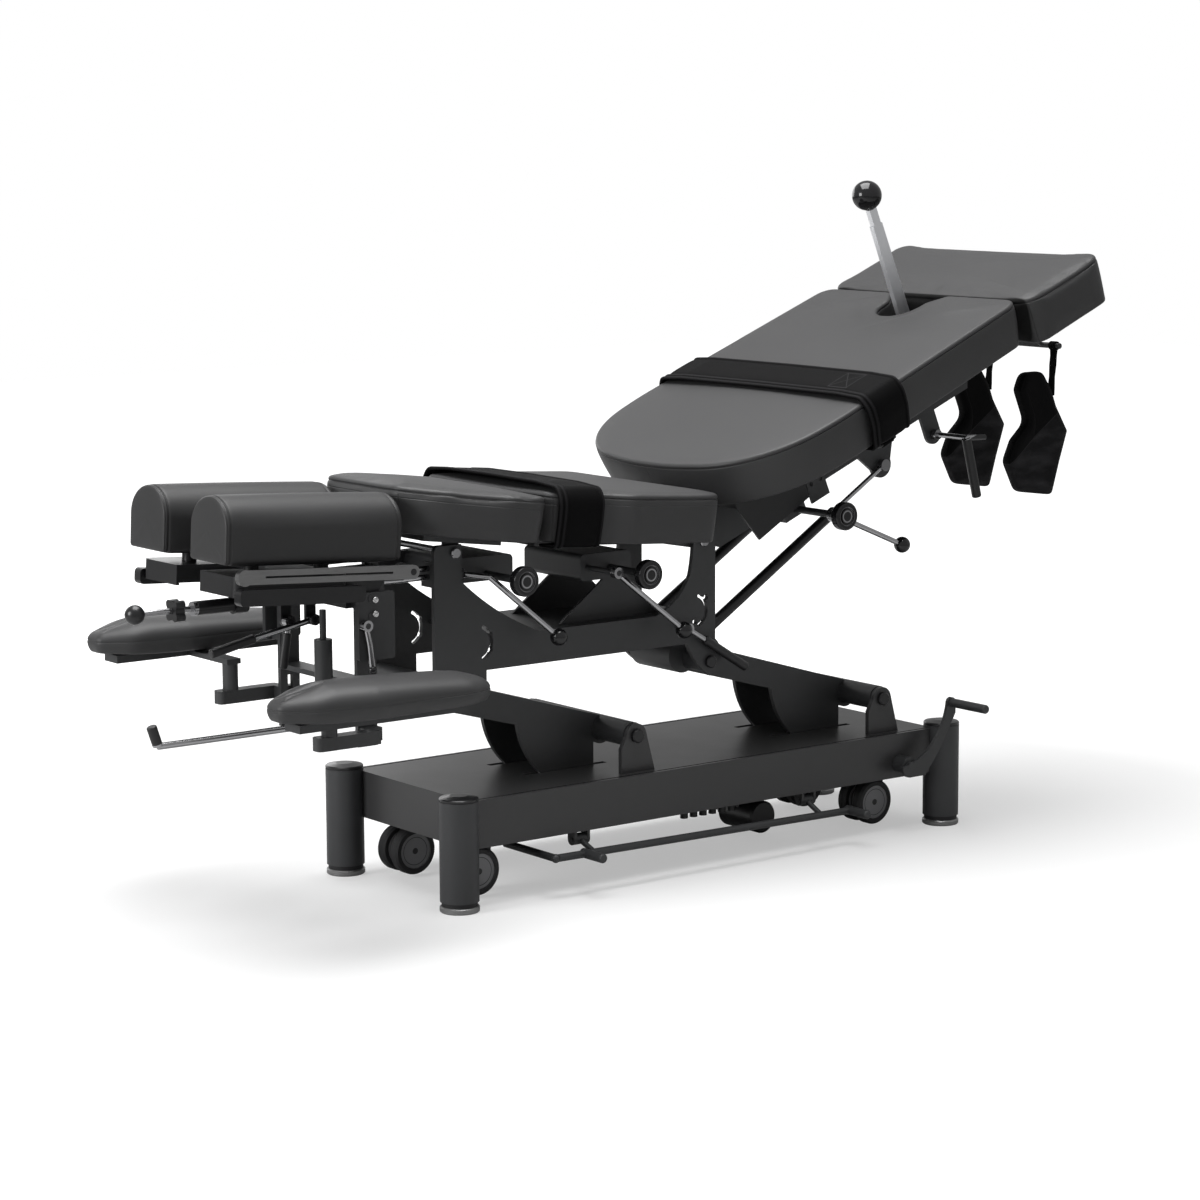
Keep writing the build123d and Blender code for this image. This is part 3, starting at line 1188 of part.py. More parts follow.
def grip_lever(pivot, joint, end, y, grip_diameter):
    """Chrome lever on a hub with a plain grip."""
    half = LEVER_HUB_LENGTH / 2
    lever = cross_bar(pivot, (y - half, y + half), LEVER_HUB_DIAMETER)
    lever += bar((pivot[0], y, pivot[1]), (joint[0], y, joint[1]), LEVER_DIAMETER)
    grip = bar((joint[0], y, joint[1]), (end[0], y, end[1]), grip_diameter)
    grip = fillet(grip.edges().filter_by(GeomType.CIRCLE), grip_diameter / 6)
    lever += grip
    return lever - cross_bar(pivot, (y - half - OVERRUN, y + half + OVERRUN),
                             LEVER_SHAFT_DIAMETER + 2 * RUN_FIT)


# Thoracic and lumbar sections


def thoracic_outline():
    head = -THORACIC_HEAD
    return [(head, -THORACIC_HEAD_HALF), (-THORACIC_SHOULDER, -THORACIC_SHOULDER_HALF),
            (THORACIC_BROAD, -THORACIC_HALF), (THORACIC_FOOT, -THORACIC_HALF),
            (THORACIC_FOOT, THORACIC_HALF), (THORACIC_BROAD, THORACIC_HALF),
            (-THORACIC_SHOULDER, THORACIC_SHOULDER_HALF), (head, THORACIC_HEAD_HALF)]


def hinge_lugs(y, bottom, top, radius, reach):
    """Pair of lugs that hang from a board to the hinge at the section's origin."""
    bore = EAR_BOLT_DIAMETER + 2 * RUN_FIT
    face = profile((-radius, 0), ((0, -radius), (radius, 0)), (radius + reach, bottom),
                   (radius + reach, top), (-radius - reach, top), (-radius - reach, bottom))
    lug = slab(face, (-y, -y + LUG_THICKNESS))
    lug -= cross_bar((0, 0), (-y - OVERRUN, -y + LUG_THICKNESS + OVERRUN), bore)
    return both_sides(lug)


def make_thoracic():
    outline = thoracic_outline()
    radii = [CORNER_RADIUS] * len(outline)
    save("thoracic_cushion", THORACIC * cushion(outline, radii, THORACIC_BOTTOM, THORACIC_SEAM,
                                                CROWN, SIDE_TUCK))
    top = THORACIC_BOTTOM - SEAT
    low = top - BOARD_THICKNESS
    half = THORACIC_SHOULDER_HALF - BOARD_EDGE
    board = block((-THORACIC_SHOULDER, THORACIC_FOOT - BOARD_EDGE / 2), (-half, half), (low, top))
    lugs = hinge_lugs(SECTION_LUG_Y, low, top, LUG_RADIUS, 0)
    save("thoracic_board", THORACIC * (board + lugs))


def lumbar_outline():
    head = -LUMBAR_HEAD
    return [(head, -LUMBAR_WAIST_HALF), (-LUMBAR_WAIST_END, -LUMBAR_WAIST_HALF),
            (-LUMBAR_BROAD, -LUMBAR_HALF), (-LUMBAR_FOOT, -LUMBAR_HALF),
            (-LUMBAR_FOOT, LUMBAR_HALF), (-LUMBAR_BROAD, LUMBAR_HALF),
            (-LUMBAR_WAIST_END, LUMBAR_WAIST_HALF), (head, LUMBAR_WAIST_HALF)]


def grown(points, radii, step):
    """Outline and corner radii moved outward by a step."""
    signs = turn_signs(points)
    corners = [(p.X, p.Y) for p in inset(points, -step)]
    return corners, [max(r + sign * step, SEAT) for r, sign in zip(radii, signs)]


def strap(start, width, outline, radii, levels, tuck, top_step):
    """Wide band over a cushion that turns in under both of its long edges."""
    bottom, seam, crown = levels
    layers = []
    for step in (STRAP_GAP + STRAP_THICKNESS, STRAP_GAP):
        points, rounds = grown(outline, radii, step)
        layers.append(cushion(points, rounds, bottom - step, seam, crown + step, tuck, EDGE_ROUND,
                              top_step))
    half = max(y for x, y in outline) + STRAP_GAP + STRAP_THICKNESS
    band = (layers[0] - layers[1]) & block((start, start + width), (-half, half),
                                           (bottom - CROWN_ROUND, seam + CROWN_ROUND))
    opening = half - STRAP_RETURN
    return band - block((start - OVERRUN, start + width + OVERRUN), (-opening, opening),
                        (bottom - CROWN_ROUND, bottom + OVERRUN))


def make_lumbar():
    outline = lumbar_outline()
    radii = [CORNER_RADIUS] * len(outline)
    save("lumbar_cushion", LUMBAR * cushion(outline, radii, LUMBAR_BOTTOM, LUMBAR_SEAM, CROWN,
                                            SIDE_TUCK))
    top = LUMBAR_BOTTOM - SEAT
    low = top - BOARD_THICKNESS
    half = LUMBAR_WAIST_HALF - BOARD_EDGE - STRAP_RETURN / 2
    board = block((-LUMBAR_HEAD + BOARD_EDGE / 2, -LUMBAR_FOOT), (-half, half), (low, top))
    bracket = profile((-LUMBAR_FOOT - BOARD_EDGE, low), (0, -LUG_RADIUS), ((LUG_RADIUS, 0),
                      (0, LUG_RADIUS)), (-LUMBAR_FOOT, top), (-LUMBAR_FOOT - BOARD_EDGE, top))
    lug = slab(bracket, (-SECTION_LUG_Y, -SECTION_LUG_Y + LUG_THICKNESS))
    lug -= cross_bar((0, 0), (-SECTION_LUG_Y - OVERRUN, OVERRUN - SECTION_LUG_Y + LUG_THICKNESS),
                     EAR_BOLT_DIAMETER + 2 * RUN_FIT)
    save("lumbar_board", LUMBAR * (board + both_sides(lug)))
    save("waist_strap", LUMBAR * strap(-WAIST_STRAP_START, WAIST_STRAP_WIDTH, outline, radii,
                                       (LUMBAR_BOTTOM, LUMBAR_SEAM, CROWN), SIDE_TUCK, CROWN_ROUND))


# Pelvic section


def pelvic_outline():
    tip_run = PELVIC_HIP - PELVIC_TIP
    side = [(PELVIC_TIP + s * tip_run, share * PELVIC_HIP_HALF) for s, share in PELVIC_TIP_SHARES]
    mouth_s = PELVIC_FOOT - NOTCH_MOUTH_DEPTH
    near = [(s, -y) for s, y in reversed(side)]
    near += [(PELVIC_HIP, -PELVIC_HIP_HALF), (PELVIC_FOOT, -PELVIC_FOOT_HALF),
             (PELVIC_FOOT, -NOTCH_MOUTH_HALF), (mouth_s, -NOTCH_HALF),
             (PELVIC_FOOT - NOTCH_DEPTH, -NOTCH_HALF)]
    far = [(s, -y) for s, y in reversed(near)]
    return near + far


def pelvic_radii():
    near = [TIP_NOSE_RADIUS, TIP_RADIUS, TIP_RADIUS, TIP_NOSE_RADIUS, CORNER_RADIUS, MOUTH_RADIUS,
            THROAT_RADIUS, NOTCH_RADIUS]
    return near + near[::-1]


def make_pelvic_cushion():
    outline = pelvic_outline()
    body = cushion(outline, pelvic_radii(), PELVIC_BOTTOM, PELVIC_SEAM, CROWN, PELVIC_TUCK, EDGE_ROUND,
                   NOTCH_MOUTH_DEPTH)
    save("pelvic_cushion", PELVIC * body)


def rail_top(s):
    """Top of the frame rails, with room for the drop that grows towards the tip."""
    room = (CROSS_STATIONS_SHARES[-1] * RAIL_END - s) / RAIL_END * PELVIC_DROP * RAIL_END / 50
    return PELVIC_BOTTOM - SEAT - BOARD_THICKNESS - SEAT - max(room, 0)


def make_pelvic_frame():
    low = RAIL_BOTTOM
    radius = LUG_RADIUS
    head_top = rail_top(0)
    face = profile((radius, -radius), (0, -radius), ((-radius, 0), (0, radius)), (PELVIC_BOARD_HEAD, rail_top(PELVIC_BOARD_HEAD)),
                   (RAIL_END, rail_top(RAIL_END)), (RAIL_END, SLIDE_BOTTOM), (RAIL_END - radius, low),
                   (PELVIC_BOARD_HEAD, low))
    rail = slab(face, (-RAIL_OUTER_Y, -RAIL_OUTER_Y + RAIL_PLATE))
    rail -= cross_bar((0, 0), (-RAIL_OUTER_Y - OVERRUN, -RAIL_OUTER_Y + RAIL_PLATE + OVERRUN),
                      EAR_BOLT_DIAMETER + 2 * RUN_FIT)
    frame = rail
    lug_low = STRUT_N - STRUT_LUG_WIDTH / 2
    lug_half = STRUT_LUG_WIDTH / 2
    lug = profile((STRUT_S - lug_half * 2, low + OVERRUN), (STRUT_S - lug_half, STRUT_N),
                  ((STRUT_S, lug_low), (STRUT_S + lug_half, STRUT_N)),
                  (STRUT_S + lug_half * 2, low + OVERRUN))
    lug_outer = STRUT_Y - STRUT_EYE_WIDTH / 2 - SEAT
    lug_plate = slab(lug, (-lug_outer, -lug_outer + STRUT_LUG_PLATE))
    lug_plate -= cross_bar((STRUT_S, STRUT_N), (-lug_outer - OVERRUN, OVERRUN - lug_outer
                                                + STRUT_LUG_PLATE),
                           STRUT_PIN_DIAMETER + 2 * STRUT_LUG_PLAY)
    frame += lug_plate
    gib_inner = SLIDE_OUTER_Y + SEAT
    for start in (PELVIC_FOOT - 4 * GIB_LENGTH, RAIL_END - GIB_LENGTH):
        frame += block((start, start + GIB_LENGTH), (-RAIL_OUTER_Y + RAIL_PLATE / 2, -gib_inner),
                       (SLIDE_BOTTOM, SLIDE_TOP))
    side = block((SIDE_PLATE_START, SIDE_PLATE_END),
                 (-PELVIC_BOARD_HALF, -PELVIC_BOARD_HALF + SKIRT_PLATE),
                 (SIDE_PLATE_BOTTOM, rail_top(SIDE_PLATE_START) - OVERRUN))
    middle = (SIDE_PLATE_START + SIDE_PLATE_END) / 2
    for step in (-1, 1):
        hole = (middle + step * SIDE_HOLE_DIAMETER * 3 / 2, (SIDE_PLATE_BOTTOM + RAIL_OUTER_Y / 2) / 2)
        side -= cross_bar(hole, (-PELVIC_BOARD_HALF - OVERRUN, OVERRUN - PELVIC_BOARD_HALF
                                 + SKIRT_PLATE), SIDE_HOLE_DIAMETER)
    frame += side
    frame = both_sides(frame)
    for share in CROSS_STATIONS_SHARES:
        reach = RAIL_OUTER_Y - RAIL_PLATE / 2
        frame += cross_bar((share * RAIL_END, CROSS_N), (-reach, reach), CROSS_DIAMETER)
    reach = PELVIC_BOARD_HALF - SKIRT_PLATE / 2
    frame += cross_bar((middle, CROSS_N + CROSS_DIAMETER), (-reach, reach), CROSS_DIAMETER)
    frame += block((PELVIC_BOX_START, PELVIC_BOX_END), (-BOX_WIDTH / 2, BOX_WIDTH / 2),
                   (PELVIC_BOX_BOTTOM, CROSS_N + CROSS_DIAMETER))
    spindle_end = PELVIC_KNOB_Y - KNOB_WIDTH / 2
    frame += cross_bar(PELVIC_KNOB, (spindle_end, -BOX_WIDTH / 2 + BOX_RADIUS), KNOB_SHAFT_DIAMETER)
    frame += flexion_clevis() + handle_hanger()
    save("pelvic_frame", PELVIC * frame)


def flexion_clevis():
    """Two cheeks and the pin that carry the flexion lever over a cross tube."""
    gap = FLEXION_THICKNESS / 2 + SEAT
    radius = FLEXION_PIN_DIAMETER
    face = profile((FLEXION_S - radius, CROSS_N), (FLEXION_S - radius, FLEXION_N),
                   ((FLEXION_S, FLEXION_N + radius), (FLEXION_S + radius, FLEXION_N)),
                   (FLEXION_S + radius, CROSS_N))
    cheek = slab(face, (-gap - CLEVIS_PLATE, -gap))
    reach = gap + CLEVIS_PLATE
    return both_sides(cheek) + cross_bar((FLEXION_S, FLEXION_N), (-reach, reach),
                                         FLEXION_PIN_DIAMETER)


def handle_hanger():
    """Plate that hangs from the near rail and holds the slide lock's spindle."""
    outer = -RAIL_OUTER_Y
    x, z = HANDLE_PIVOT
    radius = LEVER_HUB_DIAMETER
    face = profile((x - radius, RAIL_BOTTOM + OVERRUN), (x - radius, z), ((x, z - radius),
                   (x + radius, z)), (x + radius, RAIL_BOTTOM + OVERRUN))
    plate = slab(face, (outer, outer + HANDLE_HANGER_PLATE))
    return plate - cross_bar((x, z), (outer - OVERRUN, outer + HANDLE_HANGER_PLATE + OVERRUN),
                             HANDLE_ROD_DIAMETER + 2 * RUN_FIT)


def make_skirt():
    """Board under the pelvic cushion with a hanging side skirt on each side."""
    top = PELVIC_BOTTOM - SEAT
    low = top - BOARD_THICKNESS
    notch = PELVIC_FOOT - NOTCH_DEPTH - NOTCH_MOUTH_DEPTH / 2
    board = block((PELVIC_BOARD_HEAD, PELVIC_FOOT - NOTCH_MOUTH_DEPTH),
                  (-PELVIC_BOARD_HALF, PELVIC_BOARD_HALF), (low, top))
    board -= block((notch, PELVIC_FOOT), (-NOTCH_HALF, NOTCH_HALF), (low - OVERRUN, top + OVERRUN))
    face = profile(*[(PELVIC_BOARD_HEAD + s, low + SEAT - n) for s, n in
                     scaled(SKIRT_LIP_SHARES, SKIRT_LENGTH, SKIRT_DEPTH)])
    flap = slab(face, (-PELVIC_BOARD_HALF, -PELVIC_BOARD_HALF + SKIRT_PLATE))
    save("pelvic_skirt", PELVIC * (board + both_sides(flap)))


def make_hip_strap():
    band = strap(HIP_STRAP_START, HIP_STRAP_WIDTH, pelvic_outline(), pelvic_radii(),
                 (PELVIC_BOTTOM, PELVIC_SEAM, CROWN), PELVIC_TUCK, NOTCH_MOUTH_DEPTH)
    side = PELVIC_HIP_HALF - PELVIC_TUCK - STRAP_RETURN / 2
    under = PELVIC_BOTTOM - STRAP_GAP - STRAP_THICKNESS
    start = HIP_STRAP_START + HIP_STRAP_WIDTH / 4
    buckle = block((start, start + BUCKLE_LENGTH), (-side - BUCKLE_HEIGHT / 2,
                                                   -side + BUCKLE_HEIGHT / 2),
                   (under - BUCKLE_THICKNESS, under + SEAT))
    buckle = fillet(buckle.edges().filter_by(Axis.Z), BUCKLE_THICKNESS / 2)
    save("hip_strap", PELVIC * (band + buckle))


def make_pelvic_controls():
    save("pelvic_knob", PELVIC * knob(PELVIC_KNOB, PELVIC_KNOB_Y))
    half = LEVER_HUB_LENGTH / 2
    hub = cross_bar(PELVIC_KNOB, (PELVIC_LEVER_Y - half, PELVIC_LEVER_Y + half),
                    KNOB_SHAFT_DIAMETER * 2)
    start = (PELVIC_KNOB[0], PELVIC_LEVER_Y, PELVIC_KNOB[1])
    end = (PELVIC_LEVER_BALL[0], PELVIC_LEVER_Y, PELVIC_LEVER_BALL[1])
    lever = hub + bar(start, end, LEVER_DIAMETER) + ball(end, BALL_DIAMETER)
    lever -= cross_bar(PELVIC_KNOB, (PELVIC_LEVER_Y - half - OVERRUN, PELVIC_LEVER_Y + half
                                     + OVERRUN), KNOB_SHAFT_DIAMETER + 2 * RUN_FIT)
    save("pelvic_lever", PELVIC * lever)


def strut_frame(y):
    """Location at a strut's lower anchor with Z along the strut."""
    low = Vector(STRUT_ANCHOR_X, y, STRUT_ANCHOR_Z)
    high = (PELVIC * Pos(STRUT_S, y, STRUT_N)).position
    return low, high


def make_struts():
    cylinders = []
    rods = []
    for y in (-STRUT_Y, STRUT_Y):
        low, high = strut_frame(y)
        run = (high - low).normalized()
        half = STRUT_EYE_WIDTH / 2
        neck = low + run * (STRUT_EYE_DIAMETER / 2 - SEAT)
        top = low + run * STRUT_CYLINDER
        eye = cross_bar((low.X, low.Z), (y - half, y + half), STRUT_EYE_DIAMETER)
        tube = bar(neck, top, STRUT_DIAMETER) + eye
        bore_start = low + run * (STRUT_EYE_DIAMETER * 2)
        bore_end = low + run * (STRUT_CYLINDER - STRUT_DIAMETER)
        tube -= bar(bore_start, bore_end, STRUT_BORE_DIAMETER)
        tube -= bar(bore_start, (top + run * OVERRUN),
                    STRUT_ROD_DIAMETER + 2 * RUN_FIT)
        tube -= cross_bar((low.X, low.Z), (y - half - OVERRUN, y + half + OVERRUN),
                          STRUT_PIN_DIAMETER + 2 * RUN_FIT)
        cylinders.append(tube)
        inner = low + run * (STRUT_CYLINDER - STRUT_ROD_HIDDEN)
        side = 1 if y > 0 else -1
        pin_inner = y - side * (STRUT_EYE_WIDTH / 2 + STRUT_LUG_PLATE + SIDE_PLAY)
        span = sorted((y, pin_inner))
        rod = bar(inner, high, STRUT_ROD_DIAMETER)
        rod += cross_bar((high.X, high.Z), (y - half, y + half), STRUT_EYE_DIAMETER)
        rod += cross_bar((high.X, high.Z), span, STRUT_PIN_DIAMETER)
        rods.append(rod)
    save("strut_cylinders", *cylinders)
    save("strut_rods", *rods)


def make_flexion_lever():
    half = FLEXION_THICKNESS / 2
    foot = FLEXION_WIDTH / 2
    neck = FLEXION_NECK / 2
    taper = foot - CAP_DOME / 2
    face = profile((FLEXION_S - foot, FLEXION_N), ((FLEXION_S, FLEXION_N - foot),
                   (FLEXION_S + foot, FLEXION_N)), (FLEXION_S + taper, FLEXION_STEP),
                   (FLEXION_S + neck, FLEXION_STEP), (FLEXION_S + neck, FLEXION_TOP),
                   (FLEXION_S - neck, FLEXION_TOP), (FLEXION_S - neck, FLEXION_STEP),
                   (FLEXION_S - taper, FLEXION_STEP))
    lever = slab(face, (-half, half))
    lever -= cross_bar((FLEXION_S, FLEXION_N), (-half - OVERRUN, half + OVERRUN),
                       FLEXION_PIN_DIAMETER + 2 * RUN_FIT)
    centre = FLEXION_TOP + FLEXION_BALL_DIAMETER / 2 - CAP_DOME
    lever += ball((FLEXION_S, 0, centre), FLEXION_BALL_DIAMETER)
    save("flexion_lever", PELVIC * lever)


# Ankle section


def make_ankle():
    head = PELVIC_FOOT + ANKLE_GAP
    foot = head + ANKLE_LENGTH
    outline = [(head, -ANKLE_HALF), (foot, -ANKLE_HALF), (foot, ANKLE_HALF), (head, ANKLE_HALF)]
    radii = [CORNER_RADIUS] * len(outline)
    save("ankle_cushion", PELVIC * cushion(outline, radii, ANKLE_BOTTOM, ANKLE_SEAM, CROWN,
                                           SIDE_TUCK))
    tube = block((SLIDE_START, SLIDE_END), (-SLIDE_OUTER_Y, -SLIDE_OUTER_Y + SLIDE_TUBE_WIDTH),
                 (SLIDE_BOTTOM, SLIDE_TOP))
    slide = both_sides(tube)
    top = ANKLE_BOTTOM - SEAT
    plate_head = head + CORNER_RADIUS
    slide += block((plate_head, foot - CORNER_RADIUS), (-ANKLE_PLATE_HALF, ANKLE_PLATE_HALF),
                   (top - ANKLE_PLATE, top))
    for station in (plate_head, SLIDE_END - ANKLE_PLATE):
        slide += block((station, station + ANKLE_PLATE), (-SLIDE_OUTER_Y, SLIDE_OUTER_Y),
                       (SLIDE_BOTTOM, top - ANKLE_PLATE / 2))
    hook = (PELVIC.inverse() * Pos(CUFF_HOOK_X, 0, CUFF_HOOK_Z)).position
    reach = CUFF_Y + CUFF_WEB_WIDTH
    slide += cross_bar((hook.X, hook.Z), (-reach, reach), CUFF_HOOK_DIAMETER)
    middle = SLIDE_OUTER_Y - SLIDE_TUBE_WIDTH / 2
    slide += both_sides(bar((SLIDE_END - CUFF_HOOK_DIAMETER, -middle, 0), (hook.X, -middle, hook.Z),
                            CUFF_HOOK_DIAMETER * 4 / 5))
    save("ankle_slide", PELVIC * slide)


def make_handle():
    """Bent lever of the ankle slide's lock."""
    x, z = HANDLE_PIVOT
    inner = -RAIL_OUTER_Y + HANDLE_HANGER_PLATE + SIDE_PLAY
    rod = cross_bar((x, z), (HANDLE_OUTER_Y, inner), HANDLE_ROD_DIAMETER)
    collar = cross_bar((x, z), (-RAIL_OUTER_Y - SEAT - LEVER_HUB_LENGTH, -RAIL_OUTER_Y - SEAT),
                       LEVER_HUB_DIAMETER)
    corner = (x, HANDLE_OUTER_Y, z)
    stub = (HANDLE_STUB[0], HANDLE_OUTER_Y, HANDLE_STUB[1])
    end = (HANDLE_END[0], HANDLE_OUTER_Y, HANDLE_END[1])
    handle = rod + collar + ball(corner, HANDLE_ROD_DIAMETER) + bar(corner, stub, HANDLE_ROD_DIAMETER)
    grip = bar(corner, end, HANDLE_GRIP_DIAMETER)
    grip = fillet(grip.edges().filter_by(GeomType.CIRCLE), HANDLE_GRIP_DIAMETER / 6)
    save("traction_handle", PELVIC * (handle + grip))


def make_cuffs():
    """Padded ankle cuffs that hang on webbing from the ankle slide."""
    joint_x = CUFF_HOOK_X + CUFF_JOINT[0]
    joint_z = CUFF_HOOK_Z + CUFF_JOINT[1]
    left = joint_x - CUFF_JOINT_SHARES[0] * CUFF_LENGTH
    top = joint_z + CUFF_JOINT_SHARES[1] * CUFF_DROP
    points = [(left + s * CUFF_LENGTH, top - n * CUFF_DROP) for s, n in reversed(CUFF_SHARES)]
    radii = [share * CUFF_LENGTH for share in reversed(CUFF_CORNER_SHARES)]
    half = CUFF_THICKNESS / 2
    layers = ((-half, CUFF_EDGE), (0, 0), (half, CUFF_EDGE))
    body = Rot(X=90) * loft([ring_face(points, radii, step, height) for height, step in layers])
    eye = CUFF_HOOK_DIAMETER / 2 + SEAT
    band = CUFF_WEB_THICKNESS
    loop = cross_bar((CUFF_HOOK_X, CUFF_HOOK_Z), (-CUFF_WEB_WIDTH / 2, CUFF_WEB_WIDTH / 2),
                     2 * (eye + band))
    low = bar((CUFF_HOOK_X, 0, CUFF_HOOK_Z), (joint_x, 0, joint_z - CUFF_EDGE), band * 2)
    loop += low
    loop -= cross_bar((CUFF_HOOK_X, CUFF_HOOK_Z), (-CUFF_WEB_WIDTH, CUFF_WEB_WIDTH), 2 * eye)
    cuff = body + loop
    save("near_cuff", Pos(0, -CUFF_Y, 0) * cuff)
    save("far_cuff", Pos(0, CUFF_Y, 0) * cuff)


# Head section


def make_tray():
    """Pressed tray with a face slot, side boxes and arms that reach the tilt bolts."""
    outline = block((-TRAY_HEAD, -TRAY_FOOT), (-TRAY_HALF, TRAY_HALF), (TRAY_BOTTOM, TRAY_TOP))
    tray = fillet(outline.edges().filter_by(Axis.Z), TRAY_RADIUS)
    tray -= block((-TRAY_HEAD + TRAY_WALL, -TRAY_FOOT - TRAY_WALL),
                  (-TRAY_HALF + TRAY_WALL, TRAY_HALF - TRAY_WALL),
                  (TRAY_BOTTOM - OVERRUN, TRAY_TOP - TRAY_WALL))
    tray -= block((-TRAY_HEAD - OVERRUN, -TRAY_HEAD + FACE_SLOT_LENGTH),
                  (-FACE_SLOT_HALF, FACE_SLOT_HALF), (TRAY_BOTTOM - OVERRUN, TRAY_TOP + OVERRUN))
    box = block((-SIDE_BOX_HEAD, -SIDE_BOX_FOOT), (-SIDE_BOX_OUTER_Y, -TRAY_HALF - SEAT),
                (SIDE_BOX_BOTTOM, SIDE_BOX_TOP))
    box = fillet(box.edges().filter_by(Axis.Y), SIDE_BOX_RADIUS)
    foot = block((-TRAY_HEAD * 3 / 4, -TRAY_FOOT - TRAY_WALL), (-SIDE_BOX_OUTER_Y + TRAY_WALL,
                 -TRAY_HALF + TRAY_WALL / 2), (TRAY_BOTTOM + SEAT, SIDE_BOX_TOP - SIDE_BOX_RADIUS / 2))
    arm_outer = TILT_ARM_INNER_Y + TILT_ARM_PLATE
    arm = profile((-TRAY_FOOT * 2, TRAY_TOP - TILT_ARM_DEPTH), (-LUG_RADIUS * 2, TRAY_BOTTOM),
                  (-LUG_RADIUS, 0), ((0, -LUG_RADIUS), (LUG_RADIUS, 0)),
                  (LUG_RADIUS * 2, TRAY_TOP - TILT_ARM_DEPTH), (TILT_ARM_END, TRAY_TOP - TILT_ARM_DEPTH),
                  (TILT_ARM_END, TRAY_TOP), (-TRAY_FOOT * 2, TRAY_TOP))
    side = slab(arm, (-arm_outer, -TILT_ARM_INNER_Y))
    side -= cross_bar((0, 0), (-arm_outer - OVERRUN, OVERRUN - TILT_ARM_INNER_Y),
                      TILT_BOLT_DIAMETER + 2 * RUN_FIT)
    tray += both_sides(box + foot + side)
    length = BOLSTER_HEAD + BOLSTER_FOOT
    middle = BOLSTER_INNER_Y + BOLSTER_WIDTH / 2
    for share in PROP_STATIONS_SHARES:
        x = -BOLSTER_HEAD + share * length
        for y in (-middle, middle):
            tray += bar((x, y, TRAY_TOP - TRAY_WALL / 2), (x, y, BOLSTER_BOTTOM - SEAT),
                        PROP_DIAMETER)
    arm_reach = block((-TRAY_FOOT * 2, TILT_ARM_END), (-arm_outer, -TILT_ARM_INNER_Y),
                      (TRAY_TOP - TRAY_WALL, TRAY_TOP))
    pin = cross_bar((PAPER_RAIL_PIVOT, PAPER_RAIL_N),
                    (PAPER_RAIL_Y - PAPER_RAIL_PLATE - SEAT, -arm_outer + TILT_ARM_PLATE / 2),
                    TILT_BOLT_DIAMETER)
    boss = cross_bar((PAPER_RAIL_PIVOT, PAPER_RAIL_N), (-arm_outer, -TILT_ARM_INNER_Y),
                     PAPER_RAIL_HEIGHT)
    tray += arm_reach + boss + pin
    world = HEAD * tray
    boss_end = LOCK_GRIP_END + LOCK_BOSS_LENGTH
    boss_top = tray_plate_z(boss_end)
    boss = bar((LOCK_GRIP_END + SEAT, LOCK_Y, LOCK_Z), (boss_end, LOCK_Y, LOCK_Z), LOCK_BOSS_DIAMETER)
    boss += block((LOCK_GRIP_END + SEAT, boss_end), (LOCK_Y - LOCK_ROD_DIAMETER, LOCK_Y
                                                    + LOCK_ROD_DIAMETER), (LOCK_Z, boss_top))
    boss -= bar((LOCK_GRIP_END - OVERRUN, LOCK_Y, LOCK_Z), (boss_end + OVERRUN, LOCK_Y, LOCK_Z),
                LOCK_ROD_DIAMETER + 2 * RUN_FIT)
    world += boss
    world += lever_bracket(TILT_LEVER_PIVOT, TILT_LEVER_Y) + lever_bracket(DROP_LEVER_PIVOT,
                                                                            DROP_LEVER_Y)
    save("head_tray", world)


def tray_plate_z(x):
    """Height inside the tray's top plate at a place along the tray."""
    return (HEAD * Pos(x - HEAD_PIVOT_X, 0, TRAY_TOP - TRAY_WALL / 2)).position.Z


def lever_bracket(pivot, y):
    """Plate under the tray with the spindle of one hand lever."""
    half = LEVER_HUB_LENGTH / 2
    radius = LEVER_HUB_DIAMETER / 2
    inner = y + half + SIDE_PLAY
    top = tray_plate_z(pivot[0])
    face = profile((pivot[0] - radius, top), (pivot[0] - radius, pivot[1]),
                   ((pivot[0], pivot[1] - radius), (pivot[0] + radius, pivot[1])),
                   (pivot[0] + radius, top))
    plate = slab(face, (inner, inner + BRACKET_PLATE))
    return plate + cross_bar(pivot, (y - half - SEAT, inner + SEAT), LEVER_SHAFT_DIAMETER)


def bolster(inner_y):
    """Head bolster of D section with drawn-in ends."""
    half = BOLSTER_WIDTH / 2
    middle = inner_y + half
    sections = []
    ends = ((-BOLSTER_HEAD, BOLSTER_END_ROUND), (-BOLSTER_HEAD + BOLSTER_END_ROUND, 0),
            (BOLSTER_FOOT - BOLSTER_END_ROUND, 0), (BOLSTER_FOOT, BOLSTER_END_ROUND))
    for station, step in ends:
        low = BOLSTER_BOTTOM
        side = half - step
        shoulder = low + BOLSTER_HEIGHT * BOLSTER_SIDE_SHARE
        top = low + BOLSTER_HEIGHT - step
        bulge = (side * 3 / 4, (shoulder + top * 2) / 3)
        edges = [Line((-side, low), (side, low)), Line((side, low), (side, shoulder)),
                 ThreePointArc((side, shoulder), bulge, (0, top)),
                 ThreePointArc((0, top), (-bulge[0], bulge[1]), (-side, shoulder)),
                 Line((-side, shoulder), (-side, low))]
        sections.append(Pos(station, middle, 0) * (Plane.YZ * make_face(edges)))
    return HEAD * loft(sections, ruled=True)


def make_bolsters():
    save("far_bolster", bolster(BOLSTER_INNER_Y))
    save("near_bolster", bolster(-BOLSTER_INNER_Y - BOLSTER_WIDTH))


